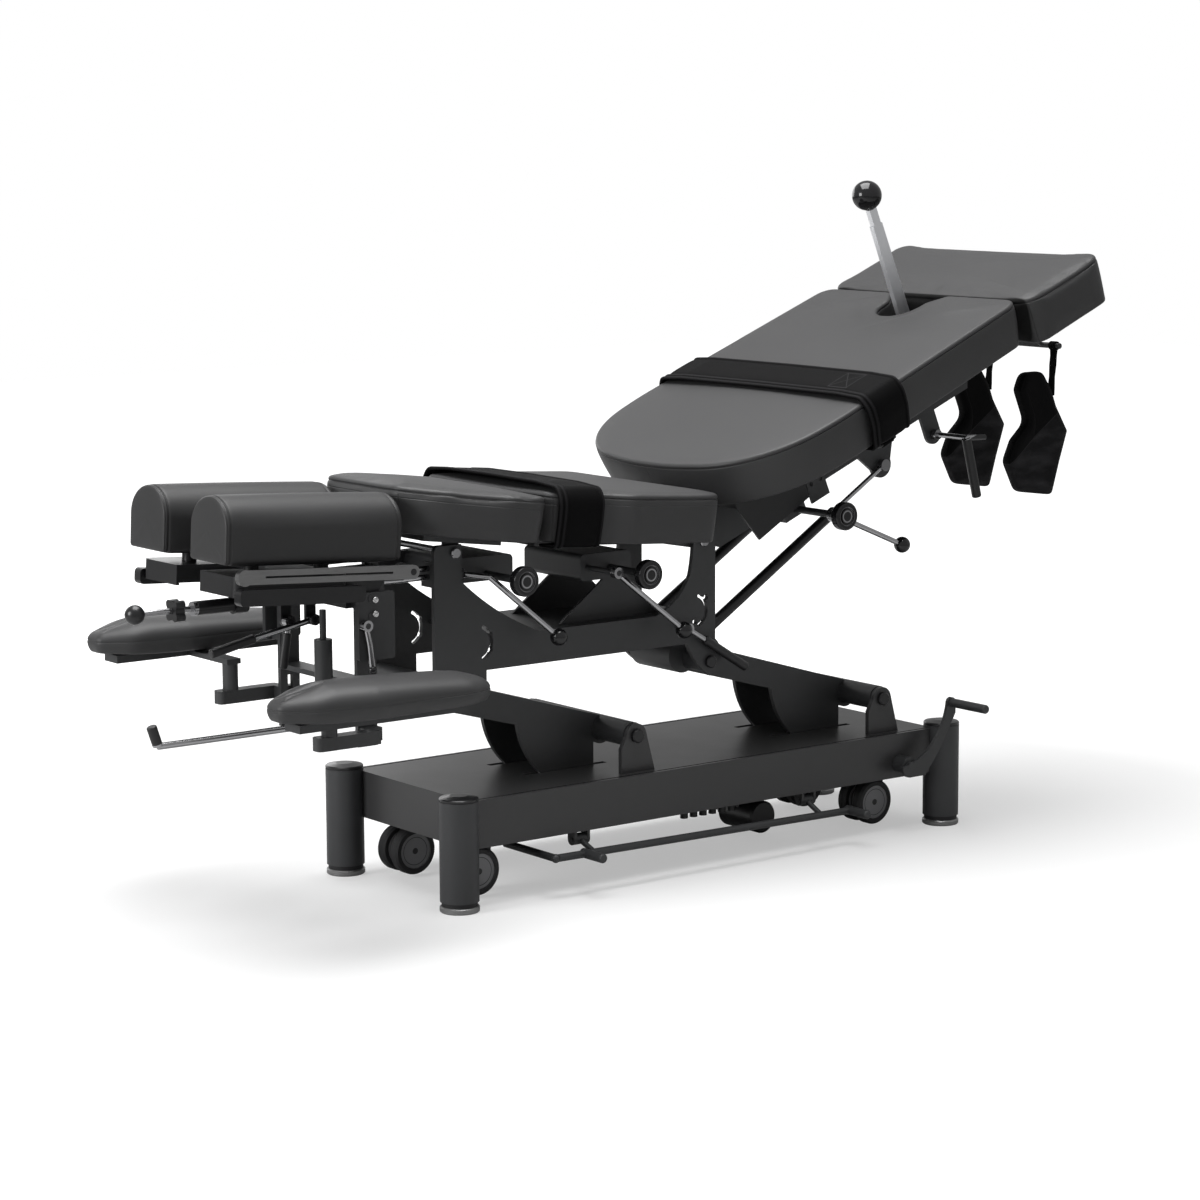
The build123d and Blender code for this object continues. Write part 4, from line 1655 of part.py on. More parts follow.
def make_paper_rail():
    """Slotted stainless rail with a thumb knob, hinged at the foot end of the tray."""
    z = PAPER_RAIL_N
    half = PAPER_RAIL_HEIGHT / 2
    outer = PAPER_RAIL_Y - PAPER_RAIL_PLATE
    length = PAPER_RAIL_PIVOT + PAPER_RAIL_HEAD
    face = profile((-PAPER_RAIL_HEAD, z + half), (-PAPER_RAIL_HEAD, z - half),
                   (PAPER_RAIL_PIVOT, z - half), ((PAPER_RAIL_PIVOT + half, z),
                                                  (PAPER_RAIL_PIVOT, z + half)))
    rail = slab(face, (outer, PAPER_RAIL_Y))
    slot_half = PAPER_SLOT_HEIGHT / 2
    rail -= block((-PAPER_RAIL_HEAD + length / 8, PAPER_RAIL_PIVOT - length / 8),
                  (outer - OVERRUN, PAPER_RAIL_Y + OVERRUN), (z - slot_half, z + slot_half))
    rail -= cross_bar((PAPER_RAIL_PIVOT, z), (outer - OVERRUN, PAPER_RAIL_Y + OVERRUN),
                      TILT_BOLT_DIAMETER + 2 * RUN_FIT)
    rail += cross_bar((-PAPER_RAIL_HEAD, z), (outer - PAPER_RAIL_PLATE, PAPER_RAIL_Y),
                      PAPER_KNOB_DIAMETER)
    save("paper_rail", HEAD * rail)


def make_head_lock():
    """Clamp spindle with a star knob, a grip and a ball end."""
    def at(x):
        return (x, LOCK_Y, LOCK_Z)
    lock = bar(at(LOCK_BALL_X), at(LOCK_GRIP_END + LOCK_BOSS_LENGTH + SIDE_PLAY), LOCK_ROD_DIAMETER)
    lock += Pos(*at(LOCK_BALL_X)) * Rot(Y=90) * Sphere(LOCK_BALL_DIAMETER / 2)
    lock += bar(at(LOCK_GRIP_START), at(LOCK_GRIP_END), LOCK_GRIP_DIAMETER)
    lobe = LOCK_STAR_DIAMETER / 3
    reach = (LOCK_STAR_DIAMETER - lobe) / 2
    star = Circle(reach)
    for turn in range(4):
        star += Rot(Z=turn * 90 + 45) * Pos(reach, 0, 0) * Circle(lobe / 2)
    face = Plane(origin=at(LOCK_STAR_X - LOCK_STAR_WIDTH / 2), z_dir=(1, 0, 0)) * star
    save("head_lock_knob", lock + extrude(face, LOCK_STAR_WIDTH))


def make_head_levers():
    save("tilt_lever", grip_lever(TILT_LEVER_PIVOT, TILT_LEVER_JOINT, TILT_LEVER_END, TILT_LEVER_Y,
                                  HAND_LEVER_GRIP))
    joint = ((DROP_LEVER_PIVOT[0] * 3 + DROP_LEVER_END[0]) / 4,
             (DROP_LEVER_PIVOT[1] * 3 + DROP_LEVER_END[1]) / 4)
    save("drop_lever", grip_lever(DROP_LEVER_PIVOT, joint, DROP_LEVER_END, DROP_LEVER_Y,
                                  HAND_LEVER_GRIP))
    y = -CARRIAGE_OUTER_Y - SIDE_PLAY - LEVER_HUB_LENGTH / 2
    half = LEVER_HUB_LENGTH / 2
    points = [(place[0], y, place[1]) for place in (CURVED_PIVOT, CURVED_BEND, CURVED_END)]
    lever = cross_bar(CURVED_PIVOT, (y - half, y + half), LEVER_HUB_DIAMETER)
    lever += bar(points[0], points[1], LEVER_DIAMETER) + ball(points[1], LEVER_DIAMETER)
    lever += bar(points[1], points[2], LEVER_DIAMETER) + ball(points[2], LEVER_DIAMETER * 3 / 2)
    lever -= cross_bar(CURVED_PIVOT, (y - half - OVERRUN, y + half + OVERRUN),
                       LEVER_SHAFT_DIAMETER + 2 * RUN_FIT)
    save("curved_lever", lever)


def make_head_carriage():
    """Slide block on the twin rods, side plates, masts for the armrests and the damper."""
    carriage = block((SLIDE_BLOCK_HEAD, SLIDE_BLOCK_FOOT), (-SLIDE_BLOCK_HALF, SLIDE_BLOCK_HALF),
                     (SLIDE_BLOCK_BOTTOM, SLIDE_BLOCK_TOP))
    carriage -= block((SLIDE_BLOCK_HEAD - OVERRUN, SLIDE_BLOCK_FOOT + OVERRUN),
                      (-SLIDE_ROD_Y + SLIDE_ROD_DIAMETER * 2, SLIDE_ROD_Y - SLIDE_ROD_DIAMETER * 2),
                      (SLIDE_BLOCK_BOTTOM + CARRIAGE_CROSS, SLIDE_BLOCK_TOP + OVERRUN))
    for y in (-SLIDE_ROD_Y, SLIDE_ROD_Y):
        for z in (SLIDE_ROD_LOWER_Z, SLIDE_ROD_UPPER_Z):
            carriage -= bar((SLIDE_BLOCK_HEAD - OVERRUN, y, z), (SLIDE_BLOCK_FOOT + OVERRUN, y, z),
                            SLIDE_ROD_DIAMETER + 2 * RUN_FIT)
    plate_y = (-CARRIAGE_OUTER_Y, -CARRIAGE_OUTER_Y + CARRIAGE_PLATE)
    plate = block((CARRIAGE_HEAD, CARRIAGE_FOOT), plate_y, (CARRIAGE_BOTTOM, CARRIAGE_TOP))
    plate = fillet(plate.edges().filter_by(Axis.Y), CARRIAGE_CORNER)
    plate += cross_bar((HEAD_PIVOT_X, HEAD_PIVOT_Z), (-TILT_ARM_INNER_Y - TILT_ARM_PLATE - OVERRUN,
                                                     SEAT - TILT_ARM_INNER_Y), TILT_BOLT_DIAMETER)
    for place in ((HEAD_PIVOT_X, HEAD_PIVOT_Z), (HEAD_PIVOT_X, HEAD_PIVOT_Z - TILT_BOLT_HEAD * 2)):
        plate += cross_bar(place, (-CARRIAGE_OUTER_Y - SIDE_PLAY, -CARRIAGE_OUTER_Y), TILT_BOLT_HEAD)
    shelf = block((MAST_HEAD, MAST_FOOT), (-CARRIAGE_OUTER_Y + CARRIAGE_PLATE / 2, -MAST_HALF
                                          + MAST_PLATE / 2),
                  (CARRIAGE_BOTTOM, CARRIAGE_BOTTOM + CARRIAGE_CROSS))
    mast = block((MAST_HEAD, MAST_FOOT), (-MAST_HALF, -MAST_HALF + MAST_PLATE),
                 (MAST_BOTTOM, SLIDE_BLOCK_BOTTOM + CARRIAGE_CROSS))
    slot_x = (MAST_HEAD + MAST_FOOT) / 2
    mast -= block((slot_x - MAST_SLOT_WIDTH / 2, slot_x + MAST_SLOT_WIDTH / 2),
                  (-MAST_HALF - OVERRUN, OVERRUN - MAST_HALF + MAST_PLATE),
                  (LINK_BLOCK_TOP + MAST_SLOT_WIDTH, LINK_BLOCK_TOP + MAST_SLOT_WIDTH
                   + MAST_SLOT_LENGTH))
    tie = block((MAST_HEAD, MAST_FOOT), (-MAST_HALF, -SLIDE_BLOCK_HALF + CARRIAGE_CROSS),
                (SLIDE_BLOCK_BOTTOM, SLIDE_BLOCK_BOTTOM + CARRIAGE_CROSS))
    carriage += both_sides(plate + shelf + mast + tie)
    carriage += block((MAST_HEAD, MAST_FOOT), (-MAST_HALF + MAST_PLATE / 2, MAST_HALF - MAST_PLATE / 2),
                      (DAMPER_BOTTOM - DAMPER_SHELF, DAMPER_BOTTOM))
    radius = DAMPER_DIAMETER / 2
    carriage += block((DAMPER_X - radius, MAST_HEAD + SEAT), (DAMPER_Y - radius, DAMPER_Y + radius),
                      (DAMPER_BOTTOM - DAMPER_SHELF, DAMPER_BOTTOM))
    carriage += bar((DAMPER_X, DAMPER_Y, DAMPER_BOTTOM - SEAT), (DAMPER_X, DAMPER_Y, DAMPER_TOP),
                    DAMPER_DIAMETER)
    carriage += bar((DAMPER_X, DAMPER_Y, DAMPER_TOP - SEAT), (DAMPER_X, DAMPER_Y, DAMPER_ROD_TOP),
                    DAMPER_ROD_DIAMETER)
    curved_y = -CARRIAGE_OUTER_Y - SIDE_PLAY - LEVER_HUB_LENGTH
    carriage += cross_bar(CURVED_PIVOT, (curved_y, -CARRIAGE_OUTER_Y + CARRIAGE_PLATE / 2),
                          LEVER_SHAFT_DIAMETER)
    save("head_carriage", carriage)


# Armrests


def pad_outline(side):
    length = ARM_PAD_FOOT - ARM_PAD_HEAD
    low = [(ARM_PAD_HEAD + s * length, -share * ARM_PAD_HALF) for s, share in ARM_PAD_SHARES]
    high = [(x, -y) for x, y in reversed(low)]
    return [(x, y + side * ARM_PAD_Y) for x, y in low + high]


def make_armrests():
    for name, side in (("near", -1), ("far", 1)):
        outline = pad_outline(side)
        ends = [ARM_PAD_NOSE_RADIUS / 2, ARM_PAD_RADIUS, ARM_PAD_RADIUS, ARM_PAD_RADIUS,
                ARM_PAD_NOSE_RADIUS]
        pad = cushion(outline, ends + ends[::-1], ARM_PAD_BOTTOM, ARM_PAD_SEAM, ARM_PAD_CROWN,
                      SIDE_TUCK, ARM_PAD_ROUND, ARM_PAD_SHOULDER)
        lift = Pos(0, 0, FAR_ARM_RISE if side > 0 else 0)
        save(f"{name}_armrest_pad", lift * pad)
        top = ARM_PAD_BOTTOM - SEAT
        middle = side * ARM_PAD_Y
        half = PAD_BAR_WIDTH / 2
        carrier = block((PAD_BAR_HEAD, PAD_BAR_FOOT), (middle - half, middle + half),
                        (top - PAD_BAR_HEIGHT, top))
        cross = sorted((middle, side * (LINK_Y - LINK_BLOCK_WIDTH / 2)))
        post_half = LINK_DIAMETER / 2
        carrier += block((LINK_X - post_half, LINK_X + post_half), cross,
                         (top - PAD_BAR_HEIGHT, top - PAD_BAR_HEIGHT / 3))
        carrier += bar((LINK_X, side * LINK_Y, LINK_BLOCK_BOTTOM + SEAT),
                       (LINK_X, side * LINK_Y, top - PAD_BAR_HEIGHT / 2), LINK_DIAMETER)
        block_y = sorted((side * (LINK_Y - LINK_BLOCK_WIDTH / 2), side * (LINK_Y
                                                                        + LINK_BLOCK_WIDTH / 2)))
        link = block((LINK_BLOCK_HEAD, LINK_BLOCK_FOOT), block_y, (LINK_BLOCK_BOTTOM, LINK_BLOCK_TOP))
        carrier += fillet(link.edges().filter_by(Axis.Z), LINK_BLOCK_WIDTH / 3)
        plate_y = sorted((side * (MAST_HALF + SEAT), side * (LINK_Y - LINK_BLOCK_WIDTH / 2 + SEAT)))
        slot_x = (MAST_HEAD + MAST_FOOT) / 2
        carrier += block((slot_x - HANGING_PLATE_WIDTH / 2, slot_x + HANGING_PLATE_WIDTH / 2),
                         plate_y, (LINK_BLOCK_BOTTOM, LINK_BLOCK_TOP))
        if side < 0:
            boss_end = LINK_X - post_half + CRANK_BOSS_LENGTH
            boss = bar((CRANK_ROD_FOOT + SEAT, CRANK_ROD_Y, CRANK_ROD_Z), (boss_end, CRANK_ROD_Y,
                       CRANK_ROD_Z), CRANK_BOSS_DIAMETER)
            carrier += boss
            carrier -= bar((CRANK_ROD_FOOT - OVERRUN, CRANK_ROD_Y, CRANK_ROD_Z),
                           (CRANK_ROD_FOOT + CRANK_BOSS_LENGTH, CRANK_ROD_Y, CRANK_ROD_Z),
                           CRANK_ROD_DIAMETER + 2 * RUN_FIT)
        save(f"{name}_armrest_carrier", lift * carrier)


def make_crank_rod():
    """Long rod with an upright grip that locks the near armrest's height."""
    end = (CRANK_ROD_HEAD, CRANK_ROD_Y, CRANK_ROD_Z)
    tip = (CRANK_ROD_HEAD - CRANK_ROD_GRIP_LEAN, CRANK_ROD_Y, CRANK_ROD_Z + CRANK_ROD_GRIP_LENGTH)
    rod = bar(end, (CRANK_ROD_FOOT + CRANK_BOSS_LENGTH - SEAT, CRANK_ROD_Y, CRANK_ROD_Z),
              CRANK_ROD_DIAMETER)
    grip = bar(end, tip, CRANK_ROD_GRIP_DIAMETER)
    grip = fillet(grip.edges().filter_by(GeomType.CIRCLE), CRANK_ROD_GRIP_DIAMETER / 6)
    save("crank_rod", rod + grip)


make_posts()
make_feet()
make_plinth()
make_pivot_pins()
make_drive()
make_carriage()
make_casters()
make_caster_crank()
make_foot_bar()
make_arms()
make_screw()
make_upper_frame()
make_frame_pins()
make_slide_rods()
make_drop_controls()
make_thoracic()
make_lumbar()
make_pelvic_cushion()
make_pelvic_frame()
make_skirt()
make_hip_strap()
make_pelvic_controls()
make_struts()
make_flexion_lever()
make_ankle()
make_handle()
make_cuffs()
make_tray()
make_bolsters()
make_paper_rail()
make_head_lock()
make_head_levers()
make_head_carriage()
make_armrests()
make_crank_rod()
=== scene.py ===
import math

import bmesh
import bpy
from mathutils import Matrix, Vector


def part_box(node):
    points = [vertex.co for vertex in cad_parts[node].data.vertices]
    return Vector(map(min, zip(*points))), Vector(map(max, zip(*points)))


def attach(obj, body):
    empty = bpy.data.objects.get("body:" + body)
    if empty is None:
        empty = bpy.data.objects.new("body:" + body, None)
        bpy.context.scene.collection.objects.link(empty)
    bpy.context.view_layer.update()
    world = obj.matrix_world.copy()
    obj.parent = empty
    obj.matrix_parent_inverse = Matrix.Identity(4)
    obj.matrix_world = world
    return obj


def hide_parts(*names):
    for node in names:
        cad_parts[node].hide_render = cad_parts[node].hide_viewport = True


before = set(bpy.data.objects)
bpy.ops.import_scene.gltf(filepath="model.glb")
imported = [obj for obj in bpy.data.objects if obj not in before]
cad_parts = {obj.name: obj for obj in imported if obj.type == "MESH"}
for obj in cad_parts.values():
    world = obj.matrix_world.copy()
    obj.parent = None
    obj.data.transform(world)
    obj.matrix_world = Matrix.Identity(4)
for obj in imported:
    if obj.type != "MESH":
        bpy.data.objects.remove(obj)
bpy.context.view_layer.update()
MM = 0.001

# Cushion sections: x and z of the pivot or rest in mm, and the tilt about Y in degrees
THORACIC = (-455.26, 536.02, 7.5)
LUMBAR = (25.5, 513.6, 4)
PELVIC = (25.5, 513.6, -22.7)
HEAD = (-628, 487, 3.4)
LEVEL = (0, 0, 0)


# Camera: the photograph's place in metres, its direction in radians, and its lens

CAMERA_PLACE = (-3.19507, -4.08966, 1.19778)
CAMERA_YAW, CAMERA_PITCH, CAMERA_ROLL = 0.64699, 0.150764, -0.0049
CAMERA_LENS = 97.19
CAMERA_SENSOR = 36.0
CAMERA_REACH = 60.0


def make_camera():
    level = math.cos(CAMERA_PITCH)
    ahead = Vector((math.sin(CAMERA_YAW) * level, math.cos(CAMERA_YAW) * level,
                    -math.sin(CAMERA_PITCH)))
    right = Vector((math.cos(CAMERA_YAW), -math.sin(CAMERA_YAW), 0))
    up = right.cross(ahead)
    turned_right = right * math.cos(CAMERA_ROLL) + up * math.sin(CAMERA_ROLL)
    turned_up = up * math.cos(CAMERA_ROLL) - right * math.sin(CAMERA_ROLL)
    data = bpy.data.cameras.new("camera")
    data.lens = CAMERA_LENS
    data.sensor_width = CAMERA_SENSOR
    data.clip_end = CAMERA_REACH
    cam = bpy.data.objects.new("camera", data)
    rows = [turned_right, turned_up, -ahead]
    spin = Matrix([[row[i] for row in rows] for i in range(3)]).to_4x4()
    cam.matrix_world = Matrix.Translation(CAMERA_PLACE) @ spin
    bpy.context.scene.collection.objects.link(cam)
    bpy.context.scene.camera = cam


# Shader arithmetic

class Wire:
    """A shader value that adds, multiplies and compares like a number."""

    def __init__(self, tree, socket):
        self.tree = tree
        self.socket = socket

    def node(self, kind, inputs, out=0, **settings):
        made = self.tree.nodes.new(kind)
        for name, value in settings.items():
            setattr(made, name, value)
        for key, value in inputs.items():
            plug = made.inputs[key]
            if isinstance(value, Wire):
                self.tree.links.new(value.socket, plug)
            else:
                plug.default_value = value
        return Wire(self.tree, made.outputs[out])

    def math(self, operation, *others):
        values = dict(enumerate((self,) + others))
        return self.node("ShaderNodeMath", values, operation=operation)

    def __add__(self, other):
        return self.math("ADD", other)

    __radd__ = __add__

    def __sub__(self, other):
        return self.math("SUBTRACT", other)

    def __rsub__(self, other):
        return self * -1.0 + other

    def __mul__(self, other):
        return self.math("MULTIPLY", other)

    __rmul__ = __mul__

    def __truediv__(self, other):
        return self.math("DIVIDE", other)

    def ramp(self, low, high):
        """Zero at a low value and one at a high one."""
        return self.node("ShaderNodeMapRange", {0: self, 1: low, 2: high})

    def above(self, level, soft=0.0004):
        """One where the value is over a level, with a soft edge."""
        return self.ramp(level - soft, level + soft)

    def below(self, level, soft=0.0004):
        return 1.0 - self.above(level, soft)

    def between(self, low, high):
        return self.above(low) * self.below(high)

    def blend(self, low, high):
        """A colour between two colours by this value."""
        return self.node("ShaderNodeMix", {0: self, 6: low, 7: high}, out=2, data_type="RGBA")

    def spread(self, low, high):
        """A number between two numbers by this value."""
        return self.node("ShaderNodeMapRange", {0: self, 3: low, 4: high})

    def noise(self, scale, detail=3.0, rough=0.5, stretch=None):
        place = self
        if stretch:
            place = self.node("ShaderNodeVectorMath", {0: self, 1: stretch}, operation="MULTIPLY")
        return place.node("ShaderNodeTexNoise", {"Vector": place, "Scale": scale,
                                                 "Detail": detail, "Roughness": rough})

    def cells(self, scale):
        return self.node("ShaderNodeTexVoronoi", {"Vector": self, "Scale": scale})

    def waves(self, scale, axis):
        return self.node("ShaderNodeTexWave", {"Vector": self, "Scale": scale}, out=1,
                         bands_direction=axis)

    def axis(self, name):
        return self.node("ShaderNodeSeparateXYZ", {0: self}, out="XYZ".index(name))

    def along(self, point, direction):
        """How far a place lies from a point along a direction."""
        step = self.node("ShaderNodeVectorMath", {0: self, 1: tuple(point)},
                         operation="SUBTRACT")
        return step.node("ShaderNodeVectorMath", {0: step, 1: tuple(direction)}, out=1,
                         operation="DOT_PRODUCT")

    def distance(self, point):
        return self.node("ShaderNodeVectorMath", {0: self, 1: point}, out=1, operation="DISTANCE")


def rgb(r, g=None, b=None):
    return (r, r if g is None else g, r if b is None else b, 1.0)


class Finish:
    """A material with a Principled shader; what varies goes through position and noise."""

    SOCKETS = {"colour": "Base Color", "roughness": "Roughness", "metallic": "Metallic",
               "specular": "Specular IOR Level", "glow": "Emission Color",
               "glow_strength": "Emission Strength", "normal": "Normal"}

    def __init__(self, name):
        self.material = bpy.data.materials.new(name)
        self.material.use_nodes = True
        self.tree = self.material.node_tree
        self.shader = self.tree.nodes["Principled BSDF"]
        coordinates = self.tree.nodes.new("ShaderNodeTexCoord")
        self.place = Wire(self.tree, coordinates.outputs["Object"])

    def set(self, **values):
        for name, value in values.items():
            plug = self.shader.inputs[self.SOCKETS[name]]
            if isinstance(value, Wire):
                self.tree.links.new(value.socket, plug)
            else:
                plug.default_value = value
        return self

    def bump(self, height, depth, strength):
        wire = height.node("ShaderNodeBump", {"Height": height, "Distance": depth,
                                              "Strength": strength})
        return self.set(normal=wire)


# Finishes

CHROME = (0.40, 0.40, 0.41)
BLACK = (0.009, 0.009, 0.010)

THREAD_HALF = 0.7       # half width of a thread line, mm
JOIN_HALF = 0.8         # half width of a join between side panels, mm
JOIN_REACH = 140        # how far from its corner a join is looked for, mm


def vinyl(name, section, levels, joins=(), dark=0.033, light=0.044, end=None):
    """Matt leatherette with a pebble grain; thread lines run round it at levels over the section,
    and joins are places in the section, with a direction, where two side panels meet. An end is
    a place and a direction, past which the panel is painted near-black: painted shade between
    two cushions."""
    f = Finish(name)
    cloud = f.place.noise(9.0)
    grain = f.place.cells(1500.0)
    fine = f.place.noise(2600.0, 2.0)
    origin = section(0, 0, 0)
    up = (section(0, 0, 1) - origin).normalized()
    rise = f.place.along(origin, up)
    thread = rise * 0.0
    for level in levels:
        line = rise.between((level - THREAD_HALF) * MM, (level + THREAD_HALF) * MM)
        thread = thread.math("MAXIMUM", line)
    for u, v, du, dv in joins:
        point = section(u, v, 0)
        across = f.place.along(point, (section(u + du, v + dv, 0) - point).normalized())
        strip = across.between(-JOIN_HALF * MM, JOIN_HALF * MM)
        strip = strip * f.place.distance(point).below(JOIN_REACH * MM)
        thread = thread.math("MAXIMUM", strip * rise.below(levels[0] * MM))
    tone = (cloud * 0.7 + fine * 0.3) * (1.0 - thread * 0.8)
    leather = tone.blend(rgb(dark, dark, dark * 1.03), rgb(light, light, light * 1.02))
    rough = (cloud * 0.6 + grain * 0.4).spread(0.42, 0.56)
    # Painted shade: past the end the panel is painted near-black and fully rough, standing for the
    # shade between two cushions.
    if end:
        side, way = end
        gap_shade = f.place.along(section(side, 0, 0), (section(way, 0, 0) - origin).normalized())
        gap_shade = gap_shade.above(0.0, 0.0012)
        leather = gap_shade.blend(leather, rgb(0.002))
        rough = rough.math("MAXIMUM", gap_shade)
    f.set(colour=leather, roughness=rough, specular=0.42)
    return f.bump(grain * 0.12 + fine * 0.08 - thread, 0.0009, 0.6)


def powder(name, dark, light, rough):
    """Satin powder coat: a fine orange peel and slight tone changes."""
    f = Finish(name)
    cloud = f.place.noise(14.0, 4.0)
    peel = f.place.noise(900.0, 2.0)
    scuff = f.place.noise(60.0, 6.0, 0.7, (1.0, 1.0, 4.0))
    f.set(colour=(cloud * 0.6 + scuff * 0.4).blend(rgb(*dark), rgb(*light)),
          roughness=(cloud * 0.5 + peel * 0.5).spread(rough - 0.06, rough + 0.08), specular=0.45)
    return f.bump(peel, 0.00012, 0.5)


def polished(f, mask, colours, roughness, metallic):
    """Blends a second finish over the first by a mask, with hairline scratches in both."""
    scratch = f.place.noise(700.0, 3.0, 0.6, (1.0, 1.0, 0.12))
    base = mask.blend(rgb(*colours[0]), rgb(*colours[1]))
    shade = mask.spread(*roughness) + (scratch - 0.5) * 0.12
    f.set(colour=base, roughness=shade, metallic=mask.spread(*metallic))
    return f.bump(scratch, 0.00003, 0.4)


def chrome(name="chrome", tint=CHROME, rough=0.14):
    f = Finish(name)
    everywhere = f.place.noise(40.0).above(-1.0)
    return polished(f, everywhere, (tint, tint), (rough, rough), (1.0, 1.0))


def ball_finish(node, radius):
    """Chrome lever with a black ball in its box's foot, near and bottom corner, in mm."""
    f = Finish(node + "_finish")
    low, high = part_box(node)
    centre = [high.x - radius * MM, low.y + radius * MM, low.z + radius * MM]
    ball = f.place.distance(centre).below((radius + 0.6) * MM)
    return polished(f, ball, (CHROME, BLACK), (0.16, 0.14), (1.0, 0.0))


def grip_finish(node, start, end):
    """Chrome lever with a black grip beyond a start point, towards an end point, in mm."""
    f = Finish(node + "_finish")
    run = (Vector(end) - Vector(start)).normalized()
    grip = f.place.along(Vector(start) * MM, run).above(0.0, 0.0002)
    return polished(f, grip, (CHROME, BLACK), (0.16, 0.42), (1.0, 0.0))


def plastic(name, tone, rough):
    f = Finish(name)
    cloud = f.place.noise(30.0)
    pits = f.place.noise(1800.0, 2.0)
    f.set(colour=cloud.blend(rgb(tone * 0.8), rgb(tone * 1.25)),
          roughness=(cloud * 0.5 + pits * 0.5).spread(rough - 0.05, rough + 0.07), specular=0.5)
    return f.bump(pits, 0.0001, 0.45)


def woven(name, tone, pitch):
    """Black webbing: crossed ribs at the real thread pitch."""
    f = Finish(name)
    ribs = f.place.waves(pitch, "X")
    cross = f.place.waves(pitch * 1.6, "Y")
    fuzz = f.place.noise(2500.0, 2.0)
    weave = ribs * 0.5 + cross * 0.35 + fuzz * 0.15
    f.set(colour=weave.blend(rgb(tone * 0.55), rgb(tone * 1.5)),
          roughness=fuzz.spread(0.7, 0.92), specular=0.04)
    return f.bump(weave, 0.0003, 0.6)


def brushed(name, tone=0.45, rough=0.3):
    f = Finish(name)
    lines = f.place.noise(500.0, 3.0, 0.6, (0.05, 1.0, 1.0))
    f.set(colour=lines.blend(rgb(tone * 0.8), rgb(tone * 1.15)),
          roughness=lines.spread(rough - 0.08, rough + 0.1), metallic=1.0)
    return f.bump(lines, 0.00004, 0.5)


def padded_knit(name, stitches=None, panel=None):
    """Fine black knit over foam, with painted highlights in bands on a strap's hem ridges.
    Stitches hold a strap's section, half width and stitched box, all in mm; a panel is a point
    and a direction, past which the knit is a paler folded mesh with painted highlights on the
    folded mesh and along its fold line."""
    f = Finish(name)
    knit = f.place.cells(1900.0)
    fuzz = f.place.noise(2500.0, 2.0)
    thread = knit * 0.0
    hem = knit * 0.0
    if stitches:
        section, half, (u0, v0, u1, v1) = stitches
        middle = section((u0 + u1) / 2, (v0 + v1) / 2, 0)
        east = (section(1, 0, 0) - section(0, 0, 0)).normalized()
        a = f.place.along(middle, east).math("ABSOLUTE") / abs(u1 - u0) * (2.0 / MM)
        b = f.place.along(middle, (0, 1, 0)).math("ABSOLUTE") / abs(v1 - v0) * (2.0 / MM)
        far = a.math("MAXIMUM", b)
        cross = (a - b).math("ABSOLUTE").below(0.05, 0.02)
        thread = (far.above(0.95, 0.02) + cross).math("MINIMUM", 1.0) * far.below(1.04, 0.02)
        u = f.place.along(section(0, 0, 0), east)
        # Hem bands: painted highlights on the hem ridges of the strap's section, lifting the knit's
        # colour.
        for start, stop in ((-half + 1.5, -half + 5.5), (-half + 11.5, -half + 15.5),
                            (half - 5.0, half - 2.0)):
            hem = hem + u.between(start * MM, stop * MM)
    lift = 1.0 + thread * 3.0 + hem * 2.6
    if panel:
        past = f.place.along(*panel)
        # Painted highlights: noise patches on the folded mesh and a strip along the panel's fold
        # line; the paler mesh tone under them is its own colour.
        fold_highlights = f.place.noise(26.0, 2.0, 0.5, (0.6, 1.0, 1.6)).ramp(0.48, 0.72)
        panel_and_highlights = past.above(0.001) * (fold_highlights * 6.0 + knit * 3.0 + 1.0)
        lift = lift + panel_and_highlights + past.between(-0.0012, 0.0006) * 6.0
    tone = knit * 0.5 + fuzz * 0.5 + thread * 0.5
    shade = tone.spread(0.0024, 0.0056) * lift
    f.set(colour=shade.blend(rgb(0.0), rgb(1.0, 0.98, 1.04)),
          roughness=fuzz.spread(0.55, 0.75), specular=0.06)
    return f.bump(knit * 0.15 + fuzz * 0.1 - thread, 0.0006, 0.6)


def posts_finish():
    """Graphite tubes with gloss black caps above the cap line, in metres."""
    cap_line = 0.1702
    f = Finish("post_finish")
    cloud = f.place.noise(14.0, 4.0)
    peel = f.place.noise(900.0, 2.0)
    cap = f.place.axis("Z").above(cap_line)
    paint = cloud.blend(rgb(0.036, 0.037, 0.039), rgb(0.047, 0.048, 0.051))
    f.set(colour=cap.blend(paint, rgb(*BLACK)),
          roughness=cap.spread(0.48, 0.3) + (peel - 0.5) * 0.1)
    return f.bump(peel, 0.00012, 0.5)


def feet_finish():
    """Zinc feet with a dark collar between two heights in metres."""
    zinc = (0.30, 0.30, 0.30)
    collar = (0.0092, 0.0158)
    f = Finish("foot_finish")
    return polished(f, f.place.axis("Z").between(*collar), (zinc, BLACK), (0.42, 0.6), (0.9, 0.0))


def turned(f, node):
    """Distance from the line along Y through the middle of a node's box."""
    low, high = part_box(node)
    across = f.place.axis("X") - (low.x + high.x) / 2
    up = f.place.axis("Z") - (low.z + high.z) / 2
    return (across * across + up * up).math("SQRT")


def caster_finish(node):
    """Dark tyre on a grey hub with a groove; radii in metres."""
    hub_radius = 0.0278
    groove = (0.0215, 0.0225)
    f = Finish(node + "_finish")
    radius = turned(f, node)
    hub = radius.below(hub_radius)
    pits = f.place.noise(900.0, 2.0)
    tread = hub.blend(rgb(0.016, 0.016, 0.017), rgb(0.26, 0.26, 0.27))
    f.set(colour=radius.between(*groove).blend(tread, rgb(0.01)),
          roughness=hub.spread(0.62, 0.4) + (pits - 0.5) * 0.1)
    return f.bump(pits, 0.0001, 0.4)


